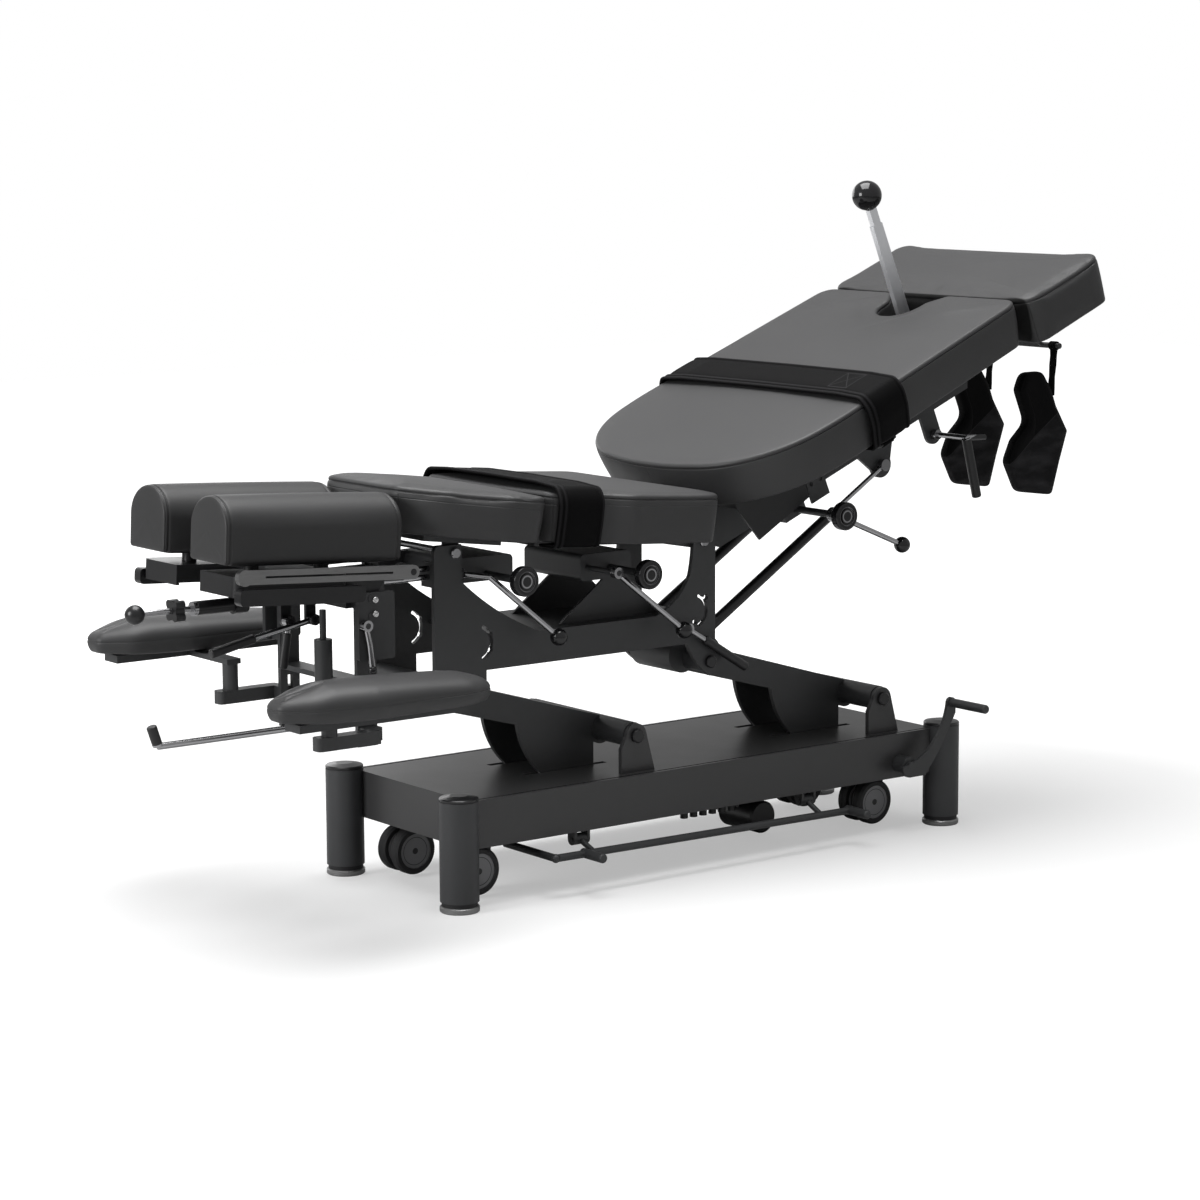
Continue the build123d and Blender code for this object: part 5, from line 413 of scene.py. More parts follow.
def knob_finish(node):
    """Gloss black knob with a machined ring and a bright rim in its recessed face, in metres."""
    machined = (0.0078, 0.0100)
    rim = (0.0146, 0.0153)
    face_depth = 0.004
    f = Finish(node + "_finish")
    radius = turned(f, node)
    front = f.place.axis("Y").below(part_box(node)[0].y + face_depth)
    ring = (radius.between(*machined) + radius.between(*rim)) * front
    return polished(f, ring, (BLACK, CHROME), (0.22, 0.2), (0.0, 1.0))


def pins_finish():
    """Chrome ear bolts above the lower pins' height in metres, black pins below it."""
    f = Finish("pin_finish")
    return polished(f, f.place.axis("Z").above(0.46), (BLACK, CHROME), (0.35, 0.18), (0.0, 1.0))


def lock_finish():
    """Bright rod with a black ball, star and grip, each between two values of X in metres."""
    ball_end = -0.9655
    star = (-0.9215, -0.9045)
    grip = (-0.8805, -0.818)
    f = Finish("lock_finish")
    x = f.place.axis("X")
    mask = x.below(ball_end)
    mask = mask.math("MAXIMUM", x.between(*star)).math("MAXIMUM", x.between(*grip))
    return polished(f, mask, (CHROME, BLACK), (0.16, 0.3), (1.0, 0.0))


def flexion_finish():
    """Milled aluminium bar under a polished black ball at the top of its box."""
    radius = 0.025
    f = Finish("flexion_finish")
    low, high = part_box("flexion_lever")
    ball = f.place.distance((low.x + radius, 0.0, high.z - radius)).below(radius + 0.0006)
    lines = f.place.noise(260.0, 3.0, 0.6, (1.0, 1.0, 0.2))
    metal = lines.blend(rgb(0.88, 0.89, 0.92), rgb(0.95, 0.96, 0.98))
    f.set(colour=ball.blend(metal, rgb(*BLACK)), metallic=ball.spread(0.85, 0.0),
          roughness=ball.spread(0.3, 0.12) + (lines - 0.5) * 0.1)
    return f.bump(lines, 0.00005, 0.4)


FRAME_PAINT = powder("frame_paint", (0.033, 0.034, 0.035), (0.043, 0.044, 0.046), 0.42)
PLINTH_PAINT = powder("plinth_paint", (0.038, 0.038, 0.039), (0.046, 0.046, 0.047), 0.36)
GLOSS_PAINT = powder("black_paint", (0.007, 0.007, 0.008), (0.012, 0.012, 0.013), 0.32)
PLASTIC = plastic("moulded_black", 0.012, 0.38)
WEBBING = woven("webbing", 0.006, 160.0)

# Levers with a black ball: the ball's radius in mm
BALLS = {"thoracic_lever": 13.5, "lumbar_lever": 13.5, "pelvic_lever": 13.5, "curved_lever": 6.75}

# Levers with a black grip: where the grip starts and a point further along it, in mm
GRIPS = {"release_lever": ((17, -113, 357), (104, -113, 302)),
         "tilt_lever": ((-786, -64, 435), (-860, -64, 419)),
         "drop_lever": ((-707, -26, 430), (-716, -26, 377)),
         "crank_rod": ((-999, -150, 318), (-1007, -150, 344)),
         "traction_handle": ((552, -150, 647), (577, -150, 548))}


def coat(finish, *nodes):
    """Gives CAD nodes their finish."""
    for node in nodes:
        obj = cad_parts[node]
        if not obj.data.materials:
            obj.data.materials.append(None)
        for index in range(len(obj.data.materials)):
            obj.data.materials[index] = finish.material


def dress_frame():
    coat(FRAME_PAINT, "upper_frame", "front_arm", "rear_arm", "pelvic_frame", "thoracic_board",
         "lumbar_board", "ankle_slide", "head_carriage", "near_armrest_carrier",
         "far_armrest_carrier", "foot_bar", "caster_carriage", "caster_crank")
    coat(PLINTH_PAINT, "plinth")
    coat(GLOSS_PAINT, "pelvic_skirt", "head_tray", "drive_unit", "base_pivot_pins",
         "strut_cylinders")
    coat(posts_finish(), "corner_posts")
    coat(feet_finish(), "levelling_feet")
    coat(brushed("bright_steel"), "screw_rod")
    coat(brushed("stainless", 0.22, 0.34), "paper_rail")
    coat(chrome(), "head_slide_rods", "strut_rods")
    coat(pins_finish(), "frame_pins")
    coat(lock_finish(), "head_lock_knob")
    coat(flexion_finish(), "flexion_lever")
    for node, radius in BALLS.items():
        coat(ball_finish(node, radius), node)
    for node, (start, end) in GRIPS.items():
        coat(grip_finish(node, start, end), node)
    for node in ("thoracic_knob", "lumbar_knob", "pelvic_knob"):
        coat(knob_finish(node), node)
    for corner in ("near_head", "far_head", "near_foot", "far_foot"):
        coat(PLASTIC, "caster_fork_" + corner)
        coat(caster_finish("caster_wheels_" + corner), "caster_wheels_" + corner)


# Meshes

def add(name, bm, finish, body, smooth=True):
    bmesh.ops.recalc_face_normals(bm, faces=bm.faces)
    mesh = bpy.data.meshes.new(name)
    bm.to_mesh(mesh)
    bm.free()
    if smooth:
        mesh.shade_smooth()
    obj = bpy.data.objects.new(name, mesh)
    bpy.context.scene.collection.objects.link(obj)
    obj.data.materials.append(finish.material)
    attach(obj, body)
    return obj


def subdivide(obj, shown, rendered):
    sub = obj.modifiers.new("smooth", "SUBSURF")
    sub.levels = shown
    sub.render_levels = rendered


def skin(bm, rings, closed=False):
    """Joins each ring of vertices to the next one, and the last to the first where closed."""
    following = rings[1:] + rings[:1] if closed else rings[1:]
    for a, b in zip(rings, following):
        for i in range(len(a)):
            j = (i + 1) % len(a)
            bm.faces.new((a[i], a[j], b[j], b[i]))


def frame_of(x, z, degrees):
    """Place maker for a section that is tilted about an axis along Y."""
    turn = math.radians(degrees)
    c, s = math.cos(turn), math.sin(turn)

    def place(u, v, n):
        return Vector((x + u * c + n * s, v, z - u * s + n * c)) * MM
    return place


def corner_arc(before, corner, after, radius, step, least):
    """Points of the arc that rounds a corner of a path, at least so many parts of a step."""
    before, corner, after = Vector(before), Vector(corner), Vector(after)
    into = (corner - before).normalized()
    out = (after - corner).normalized()
    turn = into.angle_signed(out) * -1
    if abs(turn) < 1e-4:
        return [corner]
    cut = radius * math.tan(abs(turn) / 2)
    side = Vector((-into.y, into.x)) * (1 if turn > 0 else -1)
    centre = corner - into * cut + side * radius
    parts = max(least, int(radius * abs(turn) / step) + 1)
    return [centre - Matrix.Rotation(turn * k / parts, 2) @ (side * radius)
            for k in range(parts + 1)]


def sampled(path, step):
    """Points along a path at about a step; a run too short to count is skipped."""
    dense = []
    for here, ahead in zip(path, path[1:]):
        run = (ahead - here).length
        if run >= 0.05:
            parts = max(1, round(run / step))
            dense += [here.lerp(ahead, k / parts) for k in range(parts)]
    return dense


def rounded(points, radii, step):
    """Closed outline with arcs at its corners, sampled at about a step, with outward normals."""
    path = []
    for i, radius in enumerate(radii):
        after = points[(i + 1) % len(points)]
        path += corner_arc(points[i - 1], points[i], after, radius, step, 3)
    dense = sampled(path + path[:1], step)
    normals = []
    for i in range(len(dense)):
        tangent = (dense[(i + 1) % len(dense)] - dense[i - 1]).normalized()
        normals.append(Vector((tangent.y, -tangent.x)))
    return dense, normals


def open_round(points, radii, step):
    """Sampled open path with rounded corners."""
    path = [Vector(points[0])]
    for before, corner, after, radius in zip(points, points[1:], points[2:], radii):
        path += corner_arc(before, corner, after, radius, step, 4)
    path.append(Vector(points[-1]))
    return sampled(path, step) + path[-1:]


def mirrored(near):
    return near + [(x, -y) for x, y in reversed(near)]


def arched(half, low, side, top, radius, step):
    """Outline of flat base, upright sides and a smooth arch, with outward normals."""
    path = []
    flat = 2 * (half - radius)
    for sign, turns in ((-1, range(180, 271, 30)), (1, range(270, 361, 30))):
        for turn in turns:
            a = math.radians(turn)
            out = Vector((math.cos(a), math.sin(a)))
            path.append((Vector((sign * (half - radius), low + radius)) + out * radius, out))
        if sign < 0:
            parts = round(flat / step)
            path += [(Vector((-half + radius + flat * k / parts, low)), Vector((0, -1)))
                     for k in range(1, parts)]
    parts = round((side - low - radius) / step)
    rise = [low + radius + (side - low - radius) * k / parts for k in range(1, parts)]
    path += [(Vector((half, y)), Vector((1, 0))) for y in rise]
    for turn in range(0, 181, 6):
        a = math.radians(turn)
        out = Vector((math.cos(a) / half, math.sin(a) / (top - side))).normalized()
        path.append((Vector((half * math.cos(a), side + (top - side) * math.sin(a))), out))
    path += [(Vector((-half, y)), Vector((-1, 0))) for y in reversed(rise)]
    return [point for point, out in path], [out for point, out in path]


FORK_STEPS = 6


def middle_of(edge, spine, fork):
    """Nearest place on the spine, which forks round a notch where a fork is given; both sides of
    a fork meet at the same steps, so that the top closes."""
    low, high = spine
    if not fork or edge.x <= high:
        return Vector((min(max(edge.x, low), high), 0))
    mouth, foot, tip_x, tip_y = fork
    start = high if abs(edge.y) > tip_y else mouth
    share = min(max((edge.x - start) / (foot - start), 0), 1)
    share = round(share * FORK_STEPS) / FORK_STEPS
    return Vector((high + (tip_x - high) * share, math.copysign(tip_y * share, edge.y)))


def shell(outline, normals, rows, spine, place, fork=None):
    """Closed form from rows of (inset, height, share of the way to the spine, hold at swelling)."""
    bm = bmesh.new()
    pin = bm.verts.layers.float.new("pin")
    rings = []
    for inset, height, share, hold in rows:
        ring = []
        for point, normal in zip(outline, normals):
            edge = point - normal * inset
            spot = edge.lerp(middle_of(edge, spine, fork), share)
            vert = bm.verts.new(place(spot.x, spot.y, height))
            vert[pin] = hold
            ring.append(vert)
        rings.append(ring)
    skin(bm, rings)
    bmesh.ops.remove_doubles(bm, verts=rings[0] + rings[-1], dist=0.0006)
    return bm


def sweep(path, section, place):
    """Band: a closed section of (side, height) carried along a path of (v, n) points."""
    bm = bmesh.new()
    rings = []
    for i, here in enumerate(path):
        back = path[max(i - 1, 0)]
        ahead = path[min(i + 1, len(path) - 1)]
        tangent = (ahead - back).normalized()
        lift = Vector((-tangent.y, tangent.x))
        spots = [(u, here + lift * h) for u, h in section]
        rings.append([bm.verts.new(place(u, spot.x, spot.y)) for u, spot in spots])
    skin(bm, rings)
    bm.faces.new(rings[0])
    bm.faces.new(rings[-1])
    return bm


def hoop(outline, normals, radius, place):
    """Round wire bent to a closed outline."""
    bm = bmesh.new()
    turns = [math.tau * k / 10 for k in range(10)]
    rings = []
    for point, normal in zip(outline, normals):
        spots = [(point + normal * (radius * math.cos(a)), radius * math.sin(a)) for a in turns]
        rings.append([bm.verts.new(place(spot.x, spot.y, height)) for spot, height in spots])
    skin(bm, rings, closed=True)
    return bm


# Soft pieces

SWELL_FRAMES = 12


def inflate(obj, pressure, cap):
    """Swells a pad with the cloth solver, held at its seams, and keeps each move under a cap."""
    mesh = obj.data
    rest = [v.co.copy() for v in mesh.vertices]
    group = obj.vertex_groups.new(name="held")
    layer = mesh.attributes["pin"].data
    for v in mesh.vertices:
        if layer[v.index].value > 0:
            group.add([v.index], layer[v.index].value, "REPLACE")
    cloth = obj.modifiers.new("swell", "CLOTH")
    s = cloth.settings
    s.quality = 6
    s.mass = 0.25
    s.tension_stiffness = 25
    s.compression_stiffness = 25
    s.bending_stiffness = 2
    s.use_pressure = True
    s.uniform_pressure_force = pressure
    s.vertex_group_mass = "held"
    s.effector_weights.gravity = 0
    cloth.collision_settings.use_collision = False
    cloth.point_cache.frame_start = 1
    cloth.point_cache.frame_end = SWELL_FRAMES
    scene = bpy.context.scene
    for f in range(1, SWELL_FRAMES + 1):
        scene.frame_set(f)
        bpy.context.view_layer.update()
    graph = bpy.context.evaluated_depsgraph_get()
    swollen = obj.evaluated_get(graph).data
    moved = [v.co.copy() for v in swollen.vertices]
    obj.modifiers.remove(cloth)
    for v, start, end in zip(mesh.vertices, rest, moved):
        shift = end - start
        if shift.length > cap:
            shift *= cap / shift.length
        v.co = start + shift
    scene.frame_set(1)


def finish_pad(obj, node, pressure=2.5, cap=0.0022):
    inflate(obj, pressure, cap)
    subdivide(obj, 1, 2)
    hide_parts(node)


ROLL = 6.0              # radius of a cushion's top edge, mm
ROLL_START = 2.6        # from the seam up to the rolled edge, mm


def box_rows(bottom, seam, tuck, crown):
    """Rows of a boxed cushion: flat base, full sides, a stitched seam, a rolled and crowned top."""
    height = seam - bottom
    base = bottom + 0.4
    rows = [(tuck + 8, base, 1.0, 1), (tuck + 8, base, 0.6, 1), (tuck + 8, base, 0.2, 1),
            (tuck + 6, base, 0.0, 1), (tuck + 1.2, bottom + 0.5, 0.0, 1),
            (tuck, bottom + 2.2, 0.0, 1)]
    for share in (0.12, 0.28, 0.45, 0.62, 0.78, 0.9):
        lean = tuck * (1 - share) ** 1.6
        rows.append((lean + 0.6, bottom + height * share, 0.0, 0))
    rows += [(0.9, seam - 2.6, 0.0, 0.8), (1.3, seam - 1.1, 0.0, 1), (3.0, seam - 0.2, 0.0, 1),
             (1.4, seam + 1.0, 0.0, 1), (1.2, seam + ROLL_START, 0.0, 0.6)]
    for angle in (22, 45, 66, 82):
        a = math.radians(angle)
        rows.append((1.3 + ROLL * (1 - math.cos(a)),
                     seam + ROLL_START + ROLL * 0.8 * math.sin(a), 0, 0))
    edge = seam + ROLL_START + ROLL * 0.8
    climb = crown - edge + seam
    for inset in (16, 24):
        rows.append((inset, edge + climb * (inset - 10) / 60, 0, 0))
    start = edge + climb * 14 / 60
    top = seam + crown
    for share in (0.12, 0.26, 0.42, 0.6, 0.8, 1.0):
        rise = math.sin(share * math.pi / 2)
        rows.append((24, start + (top - start) * rise, share, 0))
    return rows


def make_cushion(name, body, tilt, near, radii, rows, spine, levels, joins,
                 step=8, end=None, fork=None):
    """A boxed cushion from the near half of its outline, in mm along its tilted section."""
    place = frame_of(*tilt)
    outline, normals = rounded(mirrored(near), radii + radii[::-1], step)
    finish = vinyl(name + "_vinyl", place, levels, joins, end=end)
    bm = shell(outline, normals, rows, spine, place, fork)
    finish_pad(add(name + "_pad", bm, finish, body), name + "_cushion")


def make_cushions():
    seam, half = 88, 190
    make_cushion("thoracic", "thoracic", THORACIC,
                 near=[(-118, -95), (-60, -152), (40, -half), (108, -half)],
                 radii=[30, 60, 45, 30], rows=box_rows(25.5, seam, 5, 15), spine=(-40, 35),
                 levels=(seam, seam - 10), joins=((-112, -100, 2, -2), (-112, 100, 2, 2)))
    seam, waist, half = 77, 178, 205
    make_cushion("lumbar", "lumbar", LUMBAR,
                 near=[(-362, -waist), (-262, -waist), (-222, -half), (-41, -half)],
                 radii=[30, 40, 40, 30], rows=box_rows(8, seam, 5, 15), spine=(-260, -150),
                 levels=(seam, seam - 10), joins=((-353, -170, 1, -1), (-50, -196, 1, 1)))
    # The end arguments of the pelvic and ankle cushions paint their facing ends near-black: painted
    # shade between the two cushions.
    seam, end, notch = 119, 655.5, 44
    make_cushion("pelvic", "pelvic_top", PELVIC,
                 near=[(9, -50), (29.8, -165), (109.9, -250), (217, -260), (end, -242),
                       (end, -72), (622.9, -notch), (568.9, -notch)],
                 radii=[460, 165, 165, 460, 30, 16, 24, 40],
                 rows=box_rows(49, seam, 11, 14), spine=(190, 490),
                 levels=(seam,), joins=((9, 0, 0, 1),), step=9,
                 end=(end - 4, 1), fork=(545, 627, 580, 143))
    seam, start, half = 111, 665.5, 250
    make_cushion("ankle", "ankle", PELVIC, near=[(start, -half), (853, -half)], radii=[30, 30],
                 rows=box_rows(36, seam, 5, 15), spine=(740, 774),
                 levels=(seam,), joins=((672, -238, 1, -1), (844, -241, 1, 1)),
                 end=(start + 7, -1))


BOLSTER_Y = 88.5
BOLSTER_HALF = 52.4
BOLSTER_BASE, BOLSTER_SIDE, BOLSTER_TOP = 54.4, 106.0, 153.0
BOLSTER_HEAD, BOLSTER_FOOT = -254.0, 49.5


def bolster_rows():
    """Rows along a bolster: a stitched end panel, the long wall and the other end panel."""
    a, b = BOLSTER_HEAD, BOLSTER_FOOT
    cap = [(5.5, 0.8, 1.0), (5.5, 0.9, 0.7), (5.5, 1.1, 0.45), (5.5, 1.4, 0.2),
           (5.5, 1.7, 0.0), (3.2, 2.4, 0.0), (1.9, 3.8, 0.0)]
    seam = [(1.4, 6.5, 1), (0.9, 8.8, 1), (3.0, 9.9, 1), (0.9, 11.0, 1), (0.3, 13.5, 0.5)]
    wall = [(0.2, a + 24), (0.1, a + 60), (0, a + 105), (0, (a + b) / 2), (0, b - 105),
            (0.1, b - 60), (0.2, b - 24)]
    rows = [(inset, a + depth, share, 0) for inset, depth, share in cap]
    rows += [(inset, a + depth, 0, hold) for inset, depth, hold in seam]
    rows += [(inset, x, 0, 0) for inset, x in wall]
    rows += [(inset, b - depth, 0, hold) for inset, depth, hold in reversed(seam)]
    return rows + [(inset, b - depth, share, 0) for inset, depth, share in reversed(cap)]


def make_bolsters():
    """D sections with stitched end panels."""
    head = frame_of(*HEAD)

    def lengthways(u, v, n):
        return head(n, v, u)
    finish = vinyl("bolster_vinyl", lengthways,
                   (BOLSTER_HEAD + 8.5, BOLSTER_HEAD + 4.5, BOLSTER_FOOT - 8.5,
                    BOLSTER_FOOT - 4.5), dark=0.022, light=0.030)
    middle = (BOLSTER_BASE + BOLSTER_TOP) / 2
    outline, normals = arched(BOLSTER_HALF, BOLSTER_BASE, BOLSTER_SIDE, BOLSTER_TOP, 7, 7)
    outline = [Vector((p.x, p.y - middle)) for p in outline]
    for side, name in ((-1, "near"), (1, "far")):
        def place(u, v, w, side=side):
            return head(w, side * BOLSTER_Y + u, v + middle)
        bm = shell(outline, normals, bolster_rows(), (0, 0), place)
        obj = add(name + "_bolster_pad", bm, finish, name + "_bolster")
        finish_pad(obj, name + "_bolster", 2.0, 0.0015)


ARM_PAD_Y = 262
ARM_PAD_HALF = 64
ARM_PAD_SEAM = 366


def arm_thickness(share):
    """Share of an arm pad's height that is left along its length, less at both ends."""
    foot = 0.34 * max(0, share - 0.35) ** 1.3 / 0.57
    head = 0.35 * max(0, 0.22 - share) / 0.22
    return 1 - foot - head


def make_arm_pads():
    low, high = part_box("near_armrest_pad")
    start = low.x / MM
    length = (high.x - low.x) / MM
    plan = ((0.0, 0.3), (0.13, 0.78), (0.4, 1.0), (0.86, 0.94), (1.0, 0.62))
    near = [(start + share * length, -wide * ARM_PAD_HALF) for share, wide in plan]
    radii = [17, 60, 60, 60, 34]
    outline, normals = rounded(mirrored(near), radii + radii[::-1], 7)
    rows = [(14, 345.4, 1.0, 1), (14, 345.4, 0.5, 1), (9, 345.4, 0, 1), (6.5, 345.8, 0, 1),
            (4.2, 349, 0, 1), (1.6, 355, 0, 0), (0.5, 361, 0, 0), (0.3, 365, 0, 0.5),
            (2.0, 366.4, 0, 1), (0.6, 367.8, 0, 0.5), (1.4, 373, 0, 0), (4.5, 379.5, 0, 0),
            (10, 385.5, 0, 0), (17, 389.6, 0, 0), (24, 392.3, 0, 0), (24, 394.6, 0.25, 0),
            (24, 396.4, 0.5, 0), (24, 397.4, 0.75, 0), (24, 397.8, 1.0, 0)]
    finish = vinyl("arm_vinyl", frame_of(*LEVEL), (ARM_PAD_SEAM,))
    for side, name in ((-1, "near"), (1, "far")):
        rise = (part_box(name + "_armrest_pad")[0].z - low.z) / MM

        def place(u, v, n, side=side, rise=rise):
            slim = arm_thickness((u - start) / length)
            if n <= ARM_PAD_SEAM:
                slim = 1 - (1 - slim) * 0.4
            n = ARM_PAD_SEAM + (n - ARM_PAD_SEAM) * slim
            return Vector((u, v + side * ARM_PAD_Y, n + rise)) * MM
        bm = shell(outline, normals, rows, (start + 90, start + length - 60), place)
        obj = add(name + "_arm_pad", bm, finish, name + "_armrest")
        finish_pad(obj, name + "_armrest_pad", 2.0, 0.003)


STRAP_THICKNESS = 4.0


def strap_section(half):
    """Padded strap: a double rolled hem toward the head, a bound edge toward the foot. Each
    edge's points are its distance in from that edge and its share of the thickness."""
    head = ((0, 0.5), (1.0, 1.3), (4.0, 1.7), (7.4, 1.3), (9.0, 0.55), (10.6, 1.2), (14.0, 1.5),
            (17.4, 1.2), (19.0, 0.5), (21.5, 0.9), (28.0, 1.08))
    foot = ((18, 1.08), (10.0, 0.9), (8.0, 0.5), (6.4, 1.0), (3.5, 1.25), (0.8, 0.95), (0, 0.45))
    top = [(u - half, share * STRAP_THICKNESS) for u, share in head]
    top.append((0, 1.15 * STRAP_THICKNESS))
    top += [(half - u, share * STRAP_THICKNESS) for u, share in foot]
    return top + [(half - 1.0, 0), (-half + 1.0, 0)]


def make_strap(name, node, body, tilt, centre, half, side, low, top, tuck):
    """A band over a cushion and round its sides, in mm along the cushion's section."""
    section = frame_of(*tilt)
    right = [(0, top + 1.6), (side - 60, top + 0.6), (side - 9, top - 3), (side + 3.5, top - 17),
             (side + 1.5, top - 48), (side - tuck + 1, low), (side - 46, low)]
    points = [(-v, n) for v, n in reversed(right[1:])] + right
    radii = [6, 60, 30, 11, 60, 400, 60, 11, 30, 60, 6]
    path = open_round(points, radii, 6)

    def at(u, v, n):
        return section(centre + u, v, n)
    stitched_box = (-18, 60 - side, 30, 104 - side)
    finish = padded_knit(name + "_knit", stitches=(at, half, stitched_box))
    obj = add(name, sweep(path, strap_section(half), at), finish, body)
    subdivide(obj, 1, 1)
    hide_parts(node)


def make_straps():
    make_strap("waist_band", "waist_strap", "lumbar", LUMBAR,
               centre=-309, half=44, side=179.2, low=6.0, top=93.8, tuck=5)
    make_strap("hip_band", "hip_strap", "pelvic_top", PELVIC,
               centre=307, half=43, side=260.0, low=47.0, top=134.6, tuck=11)


def make_buckle():
    """Wire ring at the near end of the hip strap, and the webbing that holds it."""
    x, y, z = 306, -227, 37.5
    half_x, half_y, wire = 20, 13, 2.2
    section = frame_of(*PELVIC)
    outline, normals = rounded([(-half_x, -half_y), (half_x, -half_y), (half_x, half_y),
                                (-half_x, half_y)], [6, 6, 6, 6], 3)

    def at(u, v, n):
        return section(x + u, y + v, z + n)
    add("hip_strap_ring", hoop(outline, normals, wire, at), PLASTIC, "pelvic_top")

    def along(u, v, n):
        return section(x + u, v, n)
    band = [(-12, 0), (12, 0), (12, 1.6), (-12, 1.6)]
    path = open_round([(-212, 46.5), (-222, 41.5), (-240, 41.5), (-243.5, 37), (-240, 32.5),
                       (-224, 33.5)], [8, 4, 4, 4], 2)
    tail = add("hip_strap_tail", sweep(path, band, along), WEBBING, "pelvic_top")


def make_screws():
    """Bright cap screws in the two plates of the head carriage, as (height, radius) in mm."""
    x, face, heights = -623, 136, (485, 464)
    profile = ((0.0, 5.2), (2.6, 5.2), (3.8, 4.2), (4.0, 2.6), (2.2, 2.3), (2.2, 0.0))
    finish = chrome("screw_steel", (0.7, 0.7, 0.7), 0.22)
    turns = [math.tau * k / 18 for k in range(18)]
    for side, name in ((-1, "near"), (1, "far")):
        for index, z in enumerate(heights):
            bm = bmesh.new()
            rings = []
            for out, radius in profile:
                y = side * (face + out)
                rings.append([bm.verts.new(Vector((x + radius * math.cos(a), y,
                                                   z + radius * math.sin(a))) * MM)
                              for a in turns])
            skin(bm, rings)
            bm.faces.new(rings[0])
            bmesh.ops.remove_doubles(bm, verts=bm.verts, dist=0.00001)
            add(f"{name}_carriage_screw_{index + 1}", bm, finish, "head_carriage")


CUFF_HOOK_X, CUFF_Y, CUFF_HOOK_Z = 826, 78, 786
CUFF_WIDE, CUFF_TALL = 144, 218


def make_cuff_pad(name, side):
    """Padded cuff, bent like an elbow, with a bound edge; its plan holds shares of its width
    and height from the head end and the top, and shares of its width as corner radii."""
    plan = ((0.17, 0.14, 0.1), (0.26, 0.0, 0.13), (0.56, 0.0, 0.1), (0.72, 0.15, 0.08),
            (0.8, 0.28, 0.06), (1.0, 0.49, 0.04), (0.87, 0.74, 0.1), (0.75, 1.0, 0.06),
            (0.2, 0.95, 0.12), (0.0, 0.7, 0.12), (0.12, 0.53, 0.12), (0.34, 0.4, 0.12))
    face = [(20, 8, 1.0, 0), (20, 9, 0.8, 0), (20, 10, 0.5, 0), (18, 12, 0, 0), (10, 12.5, 0, 0),
            (5.5, 10.5, 0, 0), (4.0, 9.5, 0, 1), (2.0, 9.5, 0, 0), (0.6, 6, 0, 0)]
    left = CUFF_HOOK_X - 6 - 0.76 * CUFF_WIDE
    top = CUFF_HOOK_Z - 90 + 0.22 * CUFF_TALL
    points = [(left + s * CUFF_WIDE, top - n * CUFF_TALL) for s, n, r in reversed(plan)]
    outline, normals = rounded(points, [r * CUFF_WIDE for s, n, r in reversed(plan)], 6)
    heart = Vector((left + 0.42 * CUFF_WIDE, top - 0.55 * CUFF_TALL))
    rows = [(inset, -depth, share, hold) for inset, depth, share, hold in face]
    rows += [(0.3, 0, 0, 0)] + face[::-1]

    def place(u, v, w):
        return Vector((heart.x + u, side * CUFF_Y + w, heart.y + v)) * MM
    fold = Vector((left + 60, side * CUFF_Y, top - 116)) * MM
    finish = padded_knit(name + "_cuff_knit", panel=(fold, (0.6, 0.0, -0.8)))
    bm = shell([p - heart for p in outline], normals, rows, (0, 0), place)
    obj = add(name + "_ankle_cuff", bm, finish, name + "_cuff")
    subdivide(obj, 1, 1)
    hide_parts(name + "_cuff")


def make_cuff_hanger(name, side):
    """Webbing from the cuff's top up to a loop round the hook."""
    y = side * CUFF_Y
    path = ((819.5, 700, 7), (820.5, 712, 6.5), (822, 732, 5), (823.6, 752, 6.5), (825, 768, 6),
            (825.5, 779, 7))
    bm = bmesh.new()
    rings = [[bm.verts.new(Vector((x + across, y + way * half, z)) * MM)
              for across, way in ((-2.4, -1), (2.4, -1), (2.4, 1), (-2.4, 1))]
             for x, z, half in path]
    skin(bm, rings)
    bm.faces.new(rings[0])
    bm.faces.new(rings[-1])
    webbing = add(name + "_cuff_webbing", bm, WEBBING, name + "_cuff", smooth=False)
    bm = bmesh.new()
    hook = Vector((CUFF_HOOK_X, y, CUFF_HOOK_Z))
    rings = []
    for k in range(16):
        a = math.tau * k / 16
        out = Vector((math.cos(a), 0, math.sin(a)))
        rings.append([bm.verts.new((hook + out * radius + Vector((0, across, 0))) * MM)
                      for radius, across in ((5.4, -7), (7.8, -7), (7.8, 7), (5.4, 7))])
    skin(bm, rings, closed=True)
    loop = add(name + "_cuff_loop", bm, WEBBING, name + "_cuff")


def make_cuffs():
    for side, name in ((-1, "near"), (1, "far")):
        make_cuff_pad(name, side)
        make_cuff_hanger(name, side)


# Setting, in metres

FLOOR_HALF = 9
SHADOW_END, WHITE_START = 1.1, 2.4
LAMPS = (("top", (-0.2, 0.2, 4.0), (0, 0, 0.4), (3.4, 2.6), 205),
         ("head", (-4.2, 0.3, 1.7), (-0.4, 0, 0.5), (1.6, 1.6), 80),
         ("far", (0.4, 4.2, 1.5), (0, 0, 0.3), (3.0, 1.6), 30))


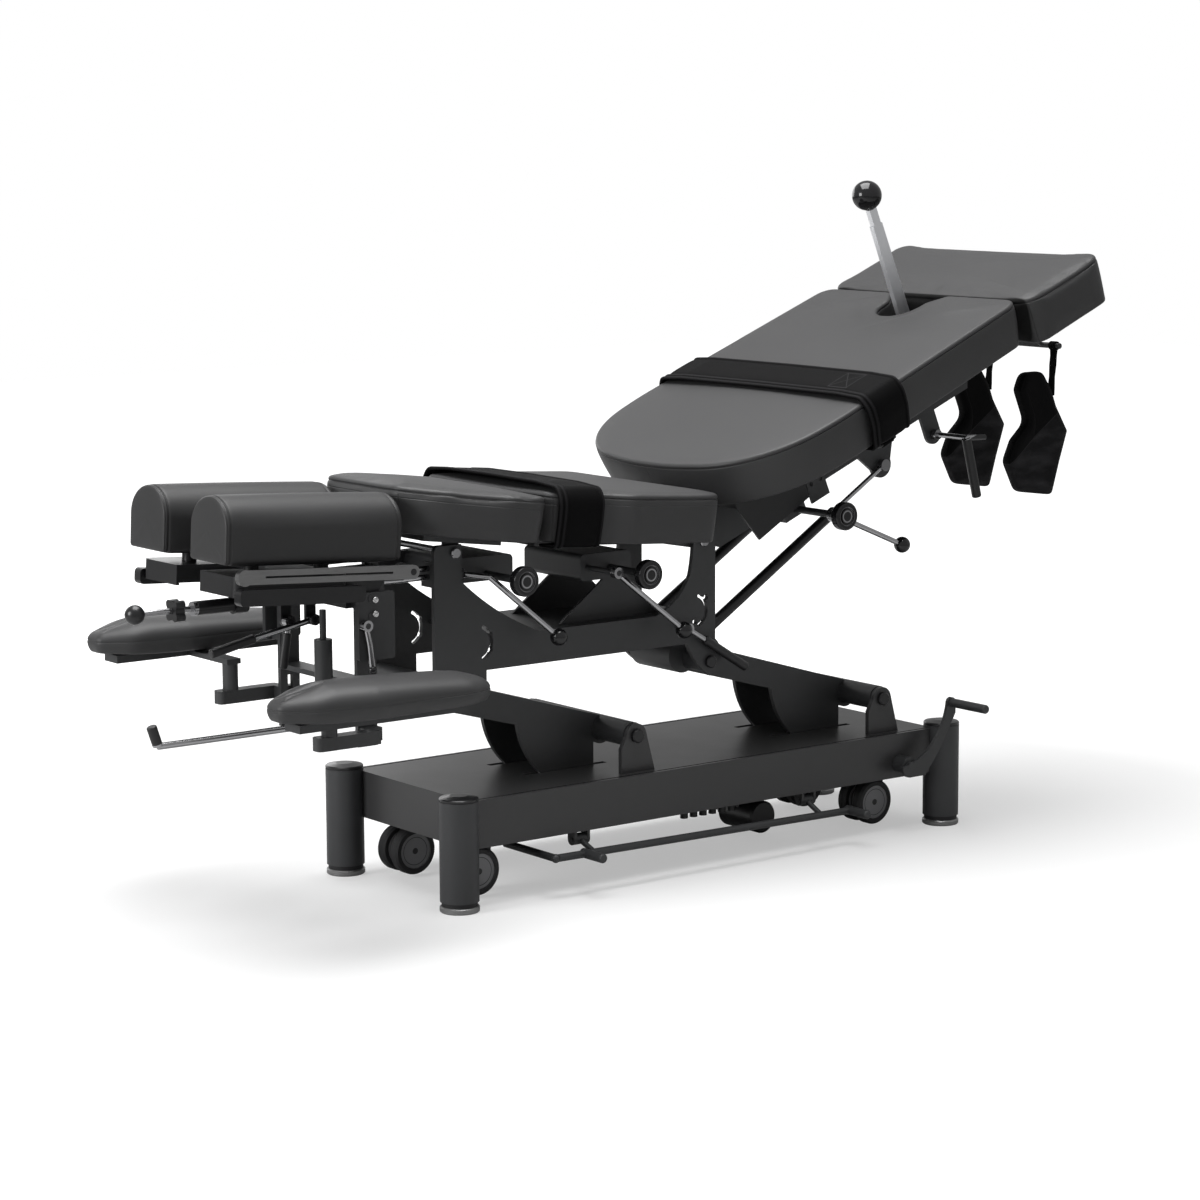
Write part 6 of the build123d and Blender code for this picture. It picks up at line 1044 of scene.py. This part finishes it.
def make_stage():
    """Pale floor: soft shadows near the table, plain white further out."""
    bm = bmesh.new()
    for x, y in ((-1, -1), (1, -1), (1, 1), (-1, 1)):
        bm.verts.new((x * FLOOR_HALF, y * FLOOR_HALF, 0))
    bm.faces.new(bm.verts)
    mesh = bpy.data.meshes.new("floor")
    bm.to_mesh(mesh)
    bm.free()
    floor = bpy.data.objects.new("floor", mesh)
    bpy.context.scene.collection.objects.link(floor)
    f = Finish("floor_finish")
    far = f.place.distance((0.0, 0.0, 0.0)).ramp(SHADOW_END, WHITE_START)
    seen = Wire(f.tree, f.tree.nodes.new("ShaderNodeLightPath").outputs["Is Camera Ray"])
    light = far.spread(0.42, 1.0) * seen
    f.set(colour=rgb(0.55), roughness=0.95, specular=0.0, glow=light.blend(rgb(0.0), rgb(1.0)),
          glow_strength=1.0)
    mesh.materials.append(f.material)


def make_lamp(name, place, target, size, power):
    data = bpy.data.lights.new(name, "AREA")
    data.shape = "RECTANGLE"
    data.size, data.size_y = size
    data.energy = power
    lamp = bpy.data.objects.new(name, data)
    lamp.location = place
    lamp.rotation_mode = "QUATERNION"
    lamp.rotation_quaternion = (Vector(target) - Vector(place)).to_track_quat("-Z", "Y")
    bpy.context.scene.collection.objects.link(lamp)


def make_world():
    """White for the camera, bright in reflections, a dim even light otherwise."""
    world = bpy.data.worlds.new("studio")
    bpy.context.scene.world = world
    world.use_nodes = True
    tree = world.node_tree
    tree.nodes.clear()
    out = tree.nodes.new("ShaderNodeOutputWorld")
    path = tree.nodes.new("ShaderNodeLightPath")
    seen = Wire(tree, path.outputs["Is Camera Ray"])
    mirrored_in = Wire(tree, path.outputs["Is Glossy Ray"])
    strength = seen * 0.79 + mirrored_in * 0.26 + 0.21
    light = tree.nodes.new("ShaderNodeBackground")
    light.inputs["Color"].default_value = rgb(1.0)
    tree.links.new(strength.socket, light.inputs["Strength"])
    tree.links.new(light.outputs[0], out.inputs[0])
    bpy.context.scene.view_settings.view_transform = "Standard"
    bpy.context.scene.view_settings.look = "None"


make_camera()
dress_frame()
make_cushions()
make_bolsters()
make_arm_pads()
make_straps()
make_buckle()
make_screws()
make_cuffs()
make_stage()
make_world()
for lamp in LAMPS:
    make_lamp(*lamp)
